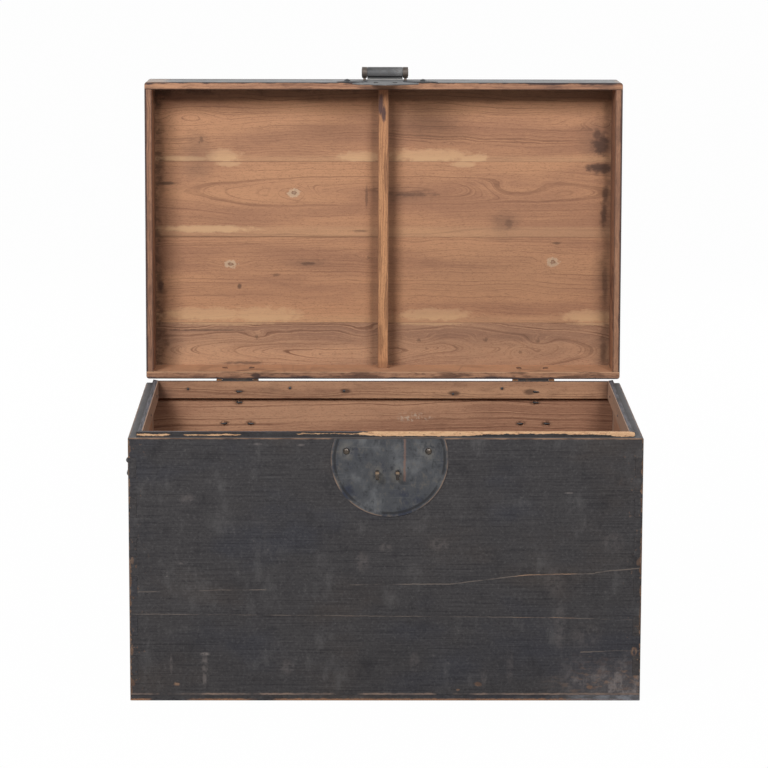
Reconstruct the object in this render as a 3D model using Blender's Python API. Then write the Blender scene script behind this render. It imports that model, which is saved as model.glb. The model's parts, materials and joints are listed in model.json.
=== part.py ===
"""Lacquered wooden trunk, lid standing open, with a round split lock plate and a rolled hasp."""
import math

import bmesh
import bpy
from mathutils import Vector

# Fits
FIT_GAP = 0.0003
LIP_CLEARANCE = 0.0010
SLOT_CLEARANCE = 0.0012
KNUCKLE_GAP = 0.0005
LEG_GAP = 0.0004

# Box of finger-jointed boards
BOX_WIDTH = 0.880
BOX_DEPTH = 0.550
BOX_HEIGHT = 0.461
WALL = 0.0138
BOTTOM = 0.0095
BOARD_JOINT = 0.150
FINGERS_LOWER = 4
FINGERS_UPPER = 9
BOX_ROUND = 0.0030
LIP_THICKNESS = 0.0100
LIP_RISE = 0.0080
BACK_LIP_RISE = 0.0060
LIP_DROP = 0.0253

# Lid, a shallow tray of skirt boards under a planked panel
LID_OPEN = 92.0
LID_DEPTH = 0.100
LID_FINGERS = 3
LID_ROUND = 0.0050
PANEL = 0.0120
FIRST_PLANK = 0.1535
SECOND_PLANK = 0.1415
THIRD_PLANK = 0.1620
BATTEN_WIDTH = 0.0190
BATTEN_DEPTH = 0.0470

# Hinges behind the trunk
HINGE_X = 0.0043
HINGE_INSET = 0.1650
HINGE_OFFSET = 0.0059
HINGE_WIDTH = 0.0780
HINGE_BARREL = 0.0560
LEAF_THICKNESS = 0.0015
BOX_LEAF = 0.0980
LID_LEAF = 0.0720
LEAF_TURN = 300.0
NAIL_LOW = 0.0745
NAIL_MIDDLE = 0.0345
NAIL_HIGH = 0.0125
NAIL_SPREAD = 0.0420
LID_NAIL = 0.0480

# Round lock plate, split at the seam, and its hasp
LOCK_X = 0.0026
PLATE_X = 0.0064
LOCK_RADIUS = 0.1005
LOCK_BELOW = 0.0359
LOCK_THICKNESS = 0.0010
LOCK_EDGE = 0.0010
LOCK_NAIL_EDGE = 0.0065
LOCK_NAIL_HEIGHT = 0.0220
LOCK_NAIL_HEAD = 0.0060
LOCK_NAIL_DOME = 0.0038
STAPLE_SPREAD = 0.0346
STAPLE_BELOW = 0.0620
STAPLE_WIDTH = 0.0060
STAPLE_STRAP = 0.0022
STAPLE_RING = 0.0074
STAPLE_REACH = 0.0112
HASP_THICKNESS = 0.0018
HASP_NECK = 0.0650
HASP_SPREAD = 0.1200
HASP_TIP = 0.1300
HASP_AXIS_REACH = 0.0160
HASP_BARREL_RADIUS = 0.0100
HASP_TURN = 312.0
HASP_JOGGLE = 0.0200
HASP_EYE_STRAP = 0.0018
HASP_EYE_WIDTH = 0.0096
HASP_EYE_LEG = 0.0050
HASP_EYE_EDGE = 0.0015

# Swinging handles on the two ends
HANDLE_BELOW = 0.0800
HANDLE_SPREAD = 0.1200
HANDLE_REACH = 0.0117
HANDLE_DROP = 0.0280
HANDLE_STRAP = 0.0018
HANDLE_STRAP_WIDTH = 0.0070
HANDLE_STUB = 0.0030
HANDLE_GRIP = 0.0058
HANDLE_CORNER = 0.0100
HANDLE_BEND = 0.0050

# Nails and clinched ends
NAIL_HEAD = 0.0038
NAIL_DOME = 0.0022
NAIL_SHANK = 0.0015
CLINCH = 0.0090

# Facets of round shapes
ROUND_STEPS = 4
ROD_SIDES = 10
HOLE_SIDES = 8

# Places that several pieces share
RIM = BOX_HEIGHT + FIT_GAP
RIM_EASE = BOX_ROUND / 2
LID_WALL = WALL - LIP_CLEARANCE + FIT_GAP
LID_TOP = RIM + LID_DEPTH
LID_AXIS = Vector((0.0, BOX_DEPTH / 2 + HINGE_OFFSET, BOX_HEIGHT))
LOCK_FACE = FIT_GAP + LOCK_THICKNESS
LEAF_FACE = FIT_GAP + LEAF_THICKNESS
HINGE_RADIUS = HINGE_OFFSET - FIT_GAP
HINGE_SPACING = BOX_WIDTH - 2.0 * HINGE_INSET
PLATE_Z = BOX_HEIGHT - LOCK_BELOW
PLATE_SHIFT = abs(PLATE_X - LOCK_X)
LOCK_NAIL_RISE = RIM + LOCK_NAIL_HEIGHT - PLATE_Z
LOCK_NAIL_SPREAD = 2.0 * (math.sqrt((LOCK_RADIUS - LOCK_NAIL_EDGE) ** 2 - LOCK_NAIL_RISE ** 2) - PLATE_SHIFT)
HASP_PIN = HASP_BARREL_RADIUS - HASP_THICKNESS - FIT_GAP
HASP_LOW = BOX_HEIGHT - HASP_TIP
HASP_EYE_X = HASP_NECK / 2 + KNUCKLE_GAP + HASP_EYE_WIDTH / 2
HASP_HOLE_X = HASP_EYE_X + HASP_EYE_LEG / 2 + FIT_GAP + PLATE_SHIFT
HASP_HOLE_TOP = PLATE_Z + math.sqrt((LOCK_RADIUS - HASP_EYE_EDGE) ** 2 - HASP_HOLE_X ** 2)
HASP_AXIS_Z = HASP_HOLE_TOP - (HASP_EYE_STRAP + LEG_GAP / 2 + FIT_GAP)
HANDLE_Z = BOX_HEIGHT - HANDLE_BELOW
BOX_NAILS = (
    (-NAIL_SPREAD / 2, NAIL_LOW),
    (NAIL_SPREAD / 2, NAIL_LOW),
    (0.0, NAIL_MIDDLE),
    (0.0, NAIL_HIGH),
)
LID_NAILS = ((-NAIL_SPREAD / 2, LID_NAIL), (NAIL_SPREAD / 2, LID_NAIL))

# Finishes as colour, roughness and metal share
LACQUER = ((0.052, 0.050, 0.053), 0.55, 0.0)
BARE_WOOD = ((0.36, 0.19, 0.105), 0.70, 0.0)
DARK_METAL = ((0.085, 0.098, 0.108), 0.50, 0.9)
WORN_BRASS = ((0.20, 0.125, 0.075), 0.45, 0.9)


def wall_point(side, along, height, inward):
    """Point on a wall of the trunk, measured inward from the outer face of that side."""
    if side == "front":
        return Vector((along, inward - BOX_DEPTH / 2, height))
    if side == "back":
        return Vector((along, BOX_DEPTH / 2 - inward, height))
    if side == "left":
        return Vector((inward - BOX_WIDTH / 2, along, height))
    return Vector((BOX_WIDTH / 2 - inward, along, height))


def arc(u, v, radius, start, stop, steps):
    """Points on a circle from one angle to another, in degrees."""
    points = []
    for step in range(steps + 1):
        angle = math.radians(start + (stop - start) * step / steps)
        points.append((u + radius * math.cos(angle), v + radius * math.sin(angle)))
    return points


def rectangle(u, v, half_u, half_v):
    """Four corners of a rectangle about its centre."""
    left, right = u - half_u, u + half_u
    low, high = v - half_v, v + half_v
    return [(left, low), (right, low), (right, high), (left, high)]


def nail_hole(u, v):
    """Round hole that clears the shank of a nail."""
    radius = (NAIL_SHANK + FIT_GAP) / math.cos(math.pi / HOLE_SIDES)
    return arc(u, v, radius, 0.0, 360.0, HOLE_SIDES)[:-1]


def leg_hole(u, v, width, strap):
    """Slot that clears the two legs of a folded strap."""
    return rectangle(u, v, width / 2 + FIT_GAP, strap + LEG_GAP / 2 + FIT_GAP)


def prism(outline, holes, thickness, cuts_u=(), cuts_v=()):
    """Flat blank of an outline with holes, scored along the given lines so that it can be bent."""
    shape = bmesh.new()
    edges = []
    for loop in [outline] + list(holes):
        ring = [shape.verts.new((u, v, 0.0)) for u, v in loop]
        for index, vert in enumerate(ring):
            edges.append(shape.edges.new((vert, ring[(index + 1) % len(ring)])))
    bmesh.ops.triangle_fill(shape, use_beauty=True, use_dissolve=False, edges=edges)
    raised = bmesh.ops.extrude_face_region(shape, geom=list(shape.faces))
    lifted = [item for item in raised["geom"] if isinstance(item, bmesh.types.BMVert)]
    bmesh.ops.translate(shape, verts=lifted, vec=(0.0, 0.0, thickness))
    for normal, places in (((1.0, 0.0, 0.0), cuts_u), ((0.0, 1.0, 0.0), cuts_v)):
        for place in places:
            everything = list(shape.verts) + list(shape.edges) + list(shape.faces)
            spot = Vector(normal) * place
            bmesh.ops.bisect_plane(shape, geom=everything, dist=1e-7, plane_co=spot, plane_no=normal)
    return shape


def swept_rod(points, radii, sides):
    """Round rod along a path, its radius changing from point to point; a zero radius ends in a point."""
    shape = bmesh.new()
    count = len(points)
    tangents = []
    for index in range(count):
        before = points[max(index - 1, 0)]
        after = points[min(index + 1, count - 1)]
        tangents.append((after - before).normalized())
    across = tangents[0].orthogonal().normalized()
    rings = []
    for point, radius, tangent in zip(points, radii, tangents):
        across = (across - tangent * across.dot(tangent)).normalized()
        other = tangent.cross(across)
        if radius == 0.0:
            rings.append([shape.verts.new(point)])
            continue
        ring = []
        for side in range(sides):
            angle = 2.0 * math.pi * side / sides
            spoke = across * math.cos(angle) + other * math.sin(angle)
            ring.append(shape.verts.new(point + spoke * radius))
        rings.append(ring)
    for first, second in zip(rings, rings[1:]):
        for side in range(sides):
            corners = [first[side % len(first)], first[(side + 1) % len(first)]]
            corners += [second[(side + 1) % len(second)], second[side % len(second)]]
            shape.faces.new(list(dict.fromkeys(corners)))
    for ring in (rings[0], rings[-1]):
        if len(ring) > 1:
            shape.faces.new(ring)
    return shape


def path_lengths(curve):
    """Distance along a bent line to each of its points."""
    lengths = [0.0]
    for start, end in zip(curve, curve[1:]):
        lengths.append(lengths[-1] + math.dist(start, end))
    return lengths


def path_normals(curve):
    """Sideways direction at each point of a bent line, mitred so that the sheet keeps its thickness."""
    sides = []
    for start, end in zip(curve, curve[1:]):
        run = Vector((end[0] - start[0], end[1] - start[1])).normalized()
        sides.append(Vector((-run.y, run.x)))
    normals = [sides[0]]
    for before, after in zip(sides, sides[1:]):
        normals.append((before + after) / (1.0 + before.dot(after)))
    normals.append(sides[-1])
    return normals


def bend_sheet(outline, holes, thickness, curve, place):
    """Sheet cut flat, then bent so that its length follows a curve; place sets it in the trunk."""
    lengths = path_lengths(curve)
    normals = path_normals(curve)
    shape = prism(outline, holes, thickness, cuts_v=lengths[1:-1])
    for vert in shape.verts:
        u, v, w = vert.co
        index = 0
        while index < len(lengths) - 2 and v > lengths[index + 1]:
            index += 1
        share = (v - lengths[index]) / (lengths[index + 1] - lengths[index])
        offset = w - thickness / 2
        near = Vector(curve[index]) + normals[index] * offset
        far = Vector(curve[index + 1]) + normals[index + 1] * offset
        spot = near.lerp(far, share)
        vert.co = place(u, spot.x, spot.y)
    return shape


def add_piece(name, shape, finish, origin=None, parent=None):
    """Closed solid with its own material; origin is the point the piece turns about."""
    origin = origin or Vector()
    bmesh.ops.translate(shape, verts=list(shape.verts), vec=-origin)
    bmesh.ops.recalc_face_normals(shape, faces=list(shape.faces))
    mesh = bpy.data.meshes.new(name)
    shape.to_mesh(mesh)
    shape.free()
    mesh.shade_smooth()
    mesh.set_sharp_from_angle(angle=math.radians(40.0))
    colour, roughness, metal = finish
    material = bpy.data.materials.new(name + "_finish")
    material.use_nodes = True
    surface = material.node_tree.nodes["Principled BSDF"]
    surface.inputs["Base Color"].default_value = (*colour, 1.0)
    surface.inputs["Roughness"].default_value = roughness
    surface.inputs["Metallic"].default_value = metal
    mesh.materials.append(material)
    piece = bpy.data.objects.new(name, mesh)
    bpy.context.scene.collection.objects.link(piece)
    piece.location = origin
    if parent:
        piece.parent = parent
        piece.location = origin - LID_AXIS
    return piece


def add_lid_piece(name, shape, finish, origin=None):
    """Piece drawn with the lid shut and carried by the lid's hinge axis."""
    add_piece(name, shape, finish, origin or LID_AXIS, lid)


def comb_outline(half, recess, levels, runs_full):
    """Board outline whose two ends are cut into fingers; levels are the heights where fingers change."""
    count = len(levels) - 1
    reach = [half if runs_full(index) else half - recess for index in range(count)]
    chain = [(reach[0], levels[0])]
    for index in range(1, count):
        shrink = -FIT_GAP / 2 if runs_full(index - 1) else FIT_GAP / 2
        chain.append((reach[index - 1], levels[index] + shrink))
        chain.append((reach[index], levels[index] + shrink))
    chain.append((reach[-1], levels[-1]))
    mirrored = [(-u, v) for u, v in reversed(chain)]
    return chain + mirrored


def finger_levels(low, high, count):
    """Evenly spaced heights for a row of fingers."""
    return [low + (high - low) * index / count for index in range(count + 1)]


def wall_board(side, levels, first, thickness, corner, holes=(), ease=0.0):
    """Finger-ended wall board with its outer corners rounded over and its top edge eased."""
    long_side = side in ("front", "back")
    half = BOX_WIDTH / 2 if long_side else BOX_DEPTH / 2

    def runs_full(index):
        return ((index + first) % 2 == 0) == long_side

    outline = comb_outline(half, thickness + FIT_GAP, levels, runs_full)
    cuts = []
    for step in range(ROUND_STEPS):
        place = half - corner + corner * math.sin(math.pi / 2 * step / ROUND_STEPS)
        cuts += [-place, place]
    top = levels[-1]
    shape = prism(outline, holes, thickness, cuts_u=cuts, cuts_v=[top - ease] if ease else [])
    for vert in shape.verts:
        u, v, w = vert.co
        past = abs(u) - (half - corner)
        eased = ease if v > top - ease / 2 else 0.0
        radius = corner - eased
        outside = w < thickness / 2
        if outside:
            w = eased
        if past > 0.0:
            past *= radius / corner
            u = math.copysign(half - corner + past, u)
            if outside:
                w += radius - math.sqrt(max(radius ** 2 - past ** 2, 0.0))
        vert.co = wall_point(side, u, v, w)
    return shape


def lip_strip(side, holes):
    """Strip nailed inside the rim, mitred at both ends."""
    room = BOX_WIDTH if side in ("front", "back") else BOX_DEPTH
    half = room / 2 - WALL - 2.0 * FIT_GAP
    low = BOX_HEIGHT - LIP_DROP
    high = BOX_HEIGHT + (BACK_LIP_RISE if side == "back" else LIP_RISE)
    outline = [(-half, low), (half, low), (half, high), (-half, high)]
    shape = prism(outline, holes, LIP_THICKNESS)
    for vert in shape.verts:
        u, v, w = vert.co
        if abs(u) > half - FIT_GAP:
            u -= math.copysign(w, u)
        vert.co = wall_point(side, u, v, WALL + FIT_GAP + w)
    return shape


def flat_plank(front, back, low, thickness, round_front=0.0, round_back=0.0):
    """Plank lying across the whole width, from one depth to another, corners rounded in plan."""
    half = BOX_WIDTH / 2
    corners = []
    for u, v, radius, start in (
        (half, front, round_front, 270.0),
        (half, back, round_back, 0.0),
        (-half, back, round_back, 90.0),
        (-half, front, round_front, 180.0),
    ):
        if radius == 0.0:
            corners.append((u, v))
            continue
        inset_u = u - math.copysign(radius, u)
        inset_v = v + radius if v == front else v - radius
        corners += arc(inset_u, inset_v, radius, start, start + 90.0, ROUND_STEPS)
    shape = prism(corners, [], thickness)
    bmesh.ops.translate(shape, verts=list(shape.verts), vec=(0.0, 0.0, low))
    return shape


def block(low, high):
    """Plain rectangular block between two corners."""
    outline = [(low.x, low.y), (high.x, low.y), (high.x, high.y), (low.x, high.y)]
    shape = prism(outline, [], high.z - low.z)
    bmesh.ops.translate(shape, verts=list(shape.verts), vec=(0.0, 0.0, low.z))
    return shape


def nail_shape(side, along, height, base, depth, head, dome, clinch=0.0):
    """Dome-headed nail on a surface, its shank through the wall and its end bent over when clinched."""
    rise = base + FIT_GAP
    profile = [
        (rise + dome, 0.0),
        (rise + dome * 0.88, head * 0.45),
        (rise + dome * 0.55, head * 0.80),
        (rise + dome * 0.10, head),
        (rise, head * 0.98),
        (rise - FIT_GAP * 0.1, NAIL_SHANK),
    ]
    points = [wall_point(side, along, height, -out) for out, radius in profile]
    radii = [radius for out, radius in profile]
    if clinch == 0.0:
        points.append(wall_point(side, along, height, depth))
        radii.append(NAIL_SHANK)
    else:
        bend = NAIL_SHANK + 2.0 * FIT_GAP
        lying = depth + FIT_GAP + NAIL_SHANK
        turn = math.copysign(1.0, clinch)
        for step in range(ROUND_STEPS + 1):
            angle = math.pi / 2 * step / ROUND_STEPS
            aside = bend * (1.0 - math.cos(angle)) * turn
            points.append(wall_point(side, along + aside, height, lying - bend + bend * math.sin(angle)))
            radii.append(NAIL_SHANK)
        points.append(wall_point(side, along + clinch, height, lying))
        radii.append(NAIL_SHANK * 0.6)
    return swept_rod(points, radii, HOLE_SIDES)


def eye_curve(reach, ring, strap, wall, tip):
    """Middle line of a strap folded into a ring, both legs through a wall and turned apart behind it."""
    split = (strap + LEG_GAP) / 2
    fold = strap
    drop = split + fold
    root = math.sqrt((ring + fold) ** 2 - drop ** 2)
    slant = math.degrees(math.atan2(drop, root))
    back = -(wall + FIT_GAP + strap / 2)
    turn = strap / 2 + 2.0 * FIT_GAP
    leg = [(back, split + turn + tip)]
    leg += arc(back + turn, split + turn, turn, 180.0, 270.0, ROUND_STEPS)
    neck = arc(reach - root, drop, fold, 270.0, 360.0 - slant, ROUND_STEPS)
    loop = arc(reach, 0.0, ring, 180.0 - slant, slant - 180.0, 20)
    upper = leg + neck
    lower = [(out, -rise) for out, rise in reversed(upper)]
    curve = upper + loop[1:-1] + lower
    lengths = path_lengths(curve)
    return curve, lengths[len(leg)], lengths[len(upper) - 1], lengths[-1]


def strap_eye(side, along, height, reach, ring, strap, width, leg_width, wall):
    """Strap eye, broad round its ring and narrower where the legs pass the wall."""
    curve, leg_end, ring_start, total = eye_curve(reach, ring, strap, wall, CLINCH)
    half = width / 2
    leg = leg_width / 2
    edge = [(leg, 0.0), (leg, leg_end), (half, ring_start)]
    edge += [(half, total - ring_start), (leg, total - leg_end), (leg, total)]
    outline = edge + [(-u, v) for u, v in reversed(edge)]

    def place(u, out, rise):
        return wall_point(side, along + u, height + rise, -out)

    return bend_sheet(outline, [], strap, curve, place)


def hinge_leaf(centre, direction, length, nails):
    """Round-ended leaf rolled round the pin, one long knuckle on the box (-1), two short on the lid (1)."""
    middle = HINGE_RADIUS - LEAF_THICKNESS / 2
    curve = [(HINGE_OFFSET - middle, BOX_HEIGHT + direction * length)]
    curve += arc(HINGE_OFFSET, BOX_HEIGHT, middle, 180.0, 180.0 + direction * LEAF_TURN, 18)
    end = path_lengths(curve)[-1]
    notch = length - HINGE_RADIUS - LIP_CLEARANCE
    half = HINGE_WIDTH / 2
    outline = arc(0.0, half, half, 180.0, 360.0, 16)
    if direction < 0:
        inner = HINGE_BARREL / 2
        outline += [(half, notch), (inner, notch), (inner, end)]
        outline += [(-inner, end), (-inner, notch), (-half, notch)]
    else:
        inner = HINGE_BARREL / 2 + KNUCKLE_GAP
        outline += [(half, end), (inner, end), (inner, notch)]
        outline += [(-inner, notch), (-inner, end), (-half, end)]
    holes = [nail_hole(u, length - away) for u, away in nails]

    def place(u, out, rise):
        return wall_point("back", centre + u, rise, -out)

    return bend_sheet(outline, holes, LEAF_THICKNESS, curve, place)


def lock_plate(low_edge, high_edge, holes):
    """Segment of the round plate between two heights."""
    if low_edge is None:
        start = math.degrees(math.asin((high_edge - PLATE_Z) / LOCK_RADIUS))
        outline = arc(PLATE_X, PLATE_Z, LOCK_RADIUS, start, -180.0 - start, 44)
    else:
        start = math.degrees(math.asin((low_edge - PLATE_Z) / LOCK_RADIUS))
        outline = arc(PLATE_X, PLATE_Z, LOCK_RADIUS, start, 180.0 - start, 28)
    shape = prism(outline, holes, LOCK_THICKNESS)
    for vert in shape.verts:
        u, v, w = vert.co
        vert.co = wall_point("front", u, v, w - LOCK_FACE)
    return shape


def bezier(start, first, second, end, steps):
    """Points on a cubic curve, without its first one."""
    points = []
    for step in range(1, steps + 1):
        t = step / steps
        weights = ((1 - t) ** 3, 3 * t * (1 - t) ** 2, 3 * t * t * (1 - t), t ** 3)
        corners = (start, first, second, end)
        points.append(tuple(sum(k * corner[axis] for k, corner in zip(weights, corners)) for axis in (0, 1)))
    return points


def hasp_shape():
    """Shield-shaped plate with two slots, joggled outward and rolled round its pin."""
    flat = LOCK_FACE + FIT_GAP + HASP_THICKNESS / 2
    middle = HASP_BARREL_RADIUS - HASP_THICKNESS / 2
    rolled = HASP_AXIS_REACH - middle
    start = HASP_AXIS_Z - HASP_JOGGLE
    curve = [(flat, HASP_LOW)]
    for step in range(8):
        t = step / 8
        curve.append((flat + (rolled - flat) * t * t * (3 - 2 * t), start + HASP_JOGGLE * t))
    curve += arc(HASP_AXIS_REACH, HASP_AXIS_Z, middle, 180.0, 180.0 - HASP_TURN, 24)
    end = path_lengths(curve)[-1]
    wide = HASP_SPREAD / 2
    neck = HASP_NECK / 2
    lobe = HASP_TIP * 0.34
    waist = HASP_TIP * 0.66
    edge = [(0.0, 0.0)]
    edge += bezier((0.0, 0.0), (wide * 0.55, lobe * 0.35), (wide, lobe * 0.55), (wide, lobe), 10)
    edge += bezier((wide, lobe), (wide, lobe * 1.4), (neck, waist * 0.78), (neck, waist), 8)
    edge.append((neck, end))
    outline = edge + [(-u, v) for u, v in reversed(edge[1:])]
    half_u = STAPLE_WIDTH / 2 + SLOT_CLEARANCE
    half_v = STAPLE_RING + STAPLE_STRAP / 2 + SLOT_CLEARANCE
    slot_v = HASP_TIP - STAPLE_BELOW
    slots = [rectangle(side * STAPLE_SPREAD / 2, slot_v, half_u, half_v) for side in (-1, 1)]

    def place(u, out, rise):
        return wall_point("front", LOCK_X + u, rise, -out)

    return bend_sheet(outline, slots, HASP_THICKNESS, curve, place)


def pin_shape(start, end, radius):
    """Straight pin with slightly eased ends."""
    run = (end - start).normalized()
    ease = radius * 0.2
    points = [start, start + run * ease, end - run * ease, end]
    return swept_rod(points, [radius * 0.8, radius, radius, radius * 0.8], ROD_SIDES * 2)


def bail_shape(side):
    """Forged bail: knobbed stubs in the eyes, thin arms and a thicker grip."""
    eye = HANDLE_SPREAD / 2
    strap = HANDLE_STRAP_WIDTH / 2
    arm = eye - strap - KNUCKLE_GAP - HANDLE_STUB - HANDLE_BEND / 2
    knob = eye + strap + KNUCKLE_GAP
    half = [
        (-knob - HANDLE_STUB, 0.0, 0.0),
        (-knob - HANDLE_STUB * 0.85, 0.0, HANDLE_STUB * 0.9),
        (-knob - HANDLE_STUB * 0.5, 0.0, HANDLE_STUB * 1.4),
        (-knob, 0.0, HANDLE_STUB * 1.4),
        (-knob + FIT_GAP * 0.1, 0.0, HANDLE_STUB),
    ]
    for u, v in arc(-arm - HANDLE_BEND, -HANDLE_BEND, HANDLE_BEND, 90.0, 0.0, ROUND_STEPS):
        half.append((u, v, HANDLE_STUB))
    corner = arc(-arm + HANDLE_CORNER, HANDLE_CORNER - HANDLE_DROP, HANDLE_CORNER, 180.0, 270.0, 6)
    for index, (u, v) in enumerate(corner):
        half.append((u, v, HANDLE_STUB + (HANDLE_GRIP - HANDLE_STUB) * index / 6))
    path = half + [(-u, v, radius) for u, v, radius in reversed(half)]
    points = [wall_point(side, u, HANDLE_Z + v, -HANDLE_REACH) for u, v, radius in path]
    return swept_rod(points, [radius for u, v, radius in path], ROD_SIDES)


for item in list(bpy.data.objects):
    bpy.data.objects.remove(item, do_unlink=True)

lid = bpy.data.objects.new("lid_axis", None)
bpy.context.scene.collection.objects.link(lid)
lid.location = LID_AXIS
lid.rotation_euler = (-math.radians(LID_OPEN), 0.0, 0.0)

# Walls of the box, two boards high, holed for the hardware that passes through the upper board
lower_levels = finger_levels(BOTTOM + FIT_GAP, BOARD_JOINT - FIT_GAP / 2, FINGERS_LOWER)
upper_levels = finger_levels(BOARD_JOINT + FIT_GAP / 2, BOX_HEIGHT, FINGERS_UPPER)
wall_holes = {"front": [], "back": [], "left": [], "right": []}
for side in (-1, 1):
    nail_x = LOCK_X + side * LOCK_NAIL_SPREAD / 2
    wall_holes["front"].append(nail_hole(nail_x, BOX_HEIGHT - LOCK_NAIL_HEIGHT))
    staple_x = LOCK_X + side * STAPLE_SPREAD / 2
    wall_holes["front"].append(leg_hole(staple_x, BOX_HEIGHT - STAPLE_BELOW, STAPLE_WIDTH, STAPLE_STRAP))
    for u, away in BOX_NAILS:
        wall_holes["back"].append(nail_hole(HINGE_X + side * HINGE_SPACING / 2 + u, BOX_HEIGHT - away))
    for end in ("left", "right"):
        eye_hole = leg_hole(side * HANDLE_SPREAD / 2, HANDLE_Z, HANDLE_STRAP_WIDTH, HANDLE_STRAP)
        wall_holes[end].append(eye_hole)
for side, holes in wall_holes.items():
    lower = wall_board(side, lower_levels, 0, WALL, BOX_ROUND)
    add_piece(side + "_board_lower", lower, LACQUER)
    upper = wall_board(side, upper_levels, FINGERS_LOWER, WALL, BOX_ROUND, holes, RIM_EASE)
    add_piece(side + "_board_upper", upper, LACQUER)

# Bottom of three planks
third = BOX_DEPTH / 3
front_edge = -BOX_DEPTH / 2
bottoms = (
    ("bottom_plank_front", front_edge, front_edge + third - FIT_GAP, BOX_ROUND, 0.0),
    ("bottom_plank_middle", front_edge + third, front_edge + 2 * third, 0.0, 0.0),
    ("bottom_plank_back", front_edge + 2 * third + FIT_GAP, BOX_DEPTH / 2, 0.0, BOX_ROUND),
)
for name, near, far, round_front, round_back in bottoms:
    add_piece(name, flat_plank(near, far, 0.0, BOTTOM, round_front, round_back), LACQUER)

# Lip strips; the topmost nail of each hinge comes through the back one
strip_holes = []
for side in (-1, 1):
    strip_holes.append(nail_hole(HINGE_X + side * HINGE_SPACING / 2, BOX_HEIGHT - NAIL_HIGH))
for side in ("front", "back", "left", "right"):
    add_piece("lip_strip_" + side, lip_strip(side, strip_holes if side == "back" else []), LACQUER)

# Skirt of the lid
skirt_levels = finger_levels(RIM, LID_TOP, LID_FINGERS)
skirt_holes = {"front": [], "back": [], "left": [], "right": []}
for side in (-1, 1):
    skirt_holes["front"].append(nail_hole(LOCK_X + side * LOCK_NAIL_SPREAD / 2, RIM + LOCK_NAIL_HEIGHT))
    eye_x = LOCK_X + side * HASP_EYE_X
    skirt_holes["front"].append(leg_hole(eye_x, HASP_AXIS_Z, HASP_EYE_LEG, HASP_EYE_STRAP))
    for u, away in LID_NAILS:
        skirt_holes["back"].append(nail_hole(HINGE_X + side * HINGE_SPACING / 2 + u, BOX_HEIGHT + away))
for side, holes in skirt_holes.items():
    skirt = wall_board(side, skirt_levels, 0, LID_WALL, LID_ROUND, holes)
    add_lid_piece("lid_skirt_" + side, skirt, LACQUER)

# Panel planks over the skirt, front to back, and the batten across them
panel_low = LID_TOP + FIT_GAP
second_edge = front_edge + FIRST_PLANK
third_edge = second_edge + SECOND_PLANK
fourth_edge = third_edge + THIRD_PLANK
planks = (
    (front_edge, second_edge - FIT_GAP, LID_ROUND, 0.0),
    (second_edge, third_edge - FIT_GAP, 0.0, 0.0),
    (third_edge, fourth_edge - FIT_GAP, 0.0, 0.0),
    (fourth_edge, BOX_DEPTH / 2, 0.0, LID_ROUND),
)
for index, (near, far, round_front, round_back) in enumerate(planks):
    plank = flat_plank(near, far, panel_low, PANEL, round_front, round_back)
    add_lid_piece("lid_plank_" + str(index + 1), plank, BARE_WOOD)
batten_end = BOX_DEPTH / 2 - LID_WALL - FIT_GAP
batten_low = Vector((-BATTEN_WIDTH / 2, -batten_end, LID_TOP - BATTEN_DEPTH))
batten_high = Vector((BATTEN_WIDTH / 2, batten_end, LID_TOP))
add_lid_piece("lid_batten", block(batten_low, batten_high), BARE_WOOD)

# Hinges: leaves, pins and clinched nails
head = (NAIL_HEAD, NAIL_DOME)
for label, side in (("left", -1), ("right", 1)):
    centre = HINGE_X + side * HINGE_SPACING / 2
    add_piece("hinge_leaf_box_" + label, hinge_leaf(centre, -1, BOX_LEAF, BOX_NAILS), DARK_METAL)
    add_lid_piece("hinge_leaf_lid_" + label, hinge_leaf(centre, 1, LID_LEAF, LID_NAILS), WORN_BRASS)
    reach = Vector((HINGE_WIDTH / 2 + KNUCKLE_GAP, 0.0, 0.0))
    middle = LID_AXIS + Vector((centre, 0.0, 0.0))
    pin = pin_shape(middle - reach, middle + reach, HINGE_RADIUS - LEAF_THICKNESS - FIT_GAP)
    add_piece("hinge_pin_" + label, pin, DARK_METAL)
    for index, (u, away) in enumerate(BOX_NAILS):
        through = WALL if away > LIP_DROP + NAIL_HEAD else WALL + FIT_GAP + LIP_THICKNESS
        bent = math.copysign(CLINCH, u)
        nail = nail_shape("back", centre + u, BOX_HEIGHT - away, LEAF_FACE, through, *head, bent)
        add_piece("hinge_nail_box_" + label + "_" + str(index + 1), nail, DARK_METAL)
    for index, (u, away) in enumerate(LID_NAILS):
        bent = math.copysign(CLINCH, u)
        nail = nail_shape("back", centre + u, BOX_HEIGHT + away, LEAF_FACE, LID_WALL, *head, bent)
        add_lid_piece("hinge_nail_lid_" + label + "_" + str(index + 1), nail, DARK_METAL)

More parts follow.
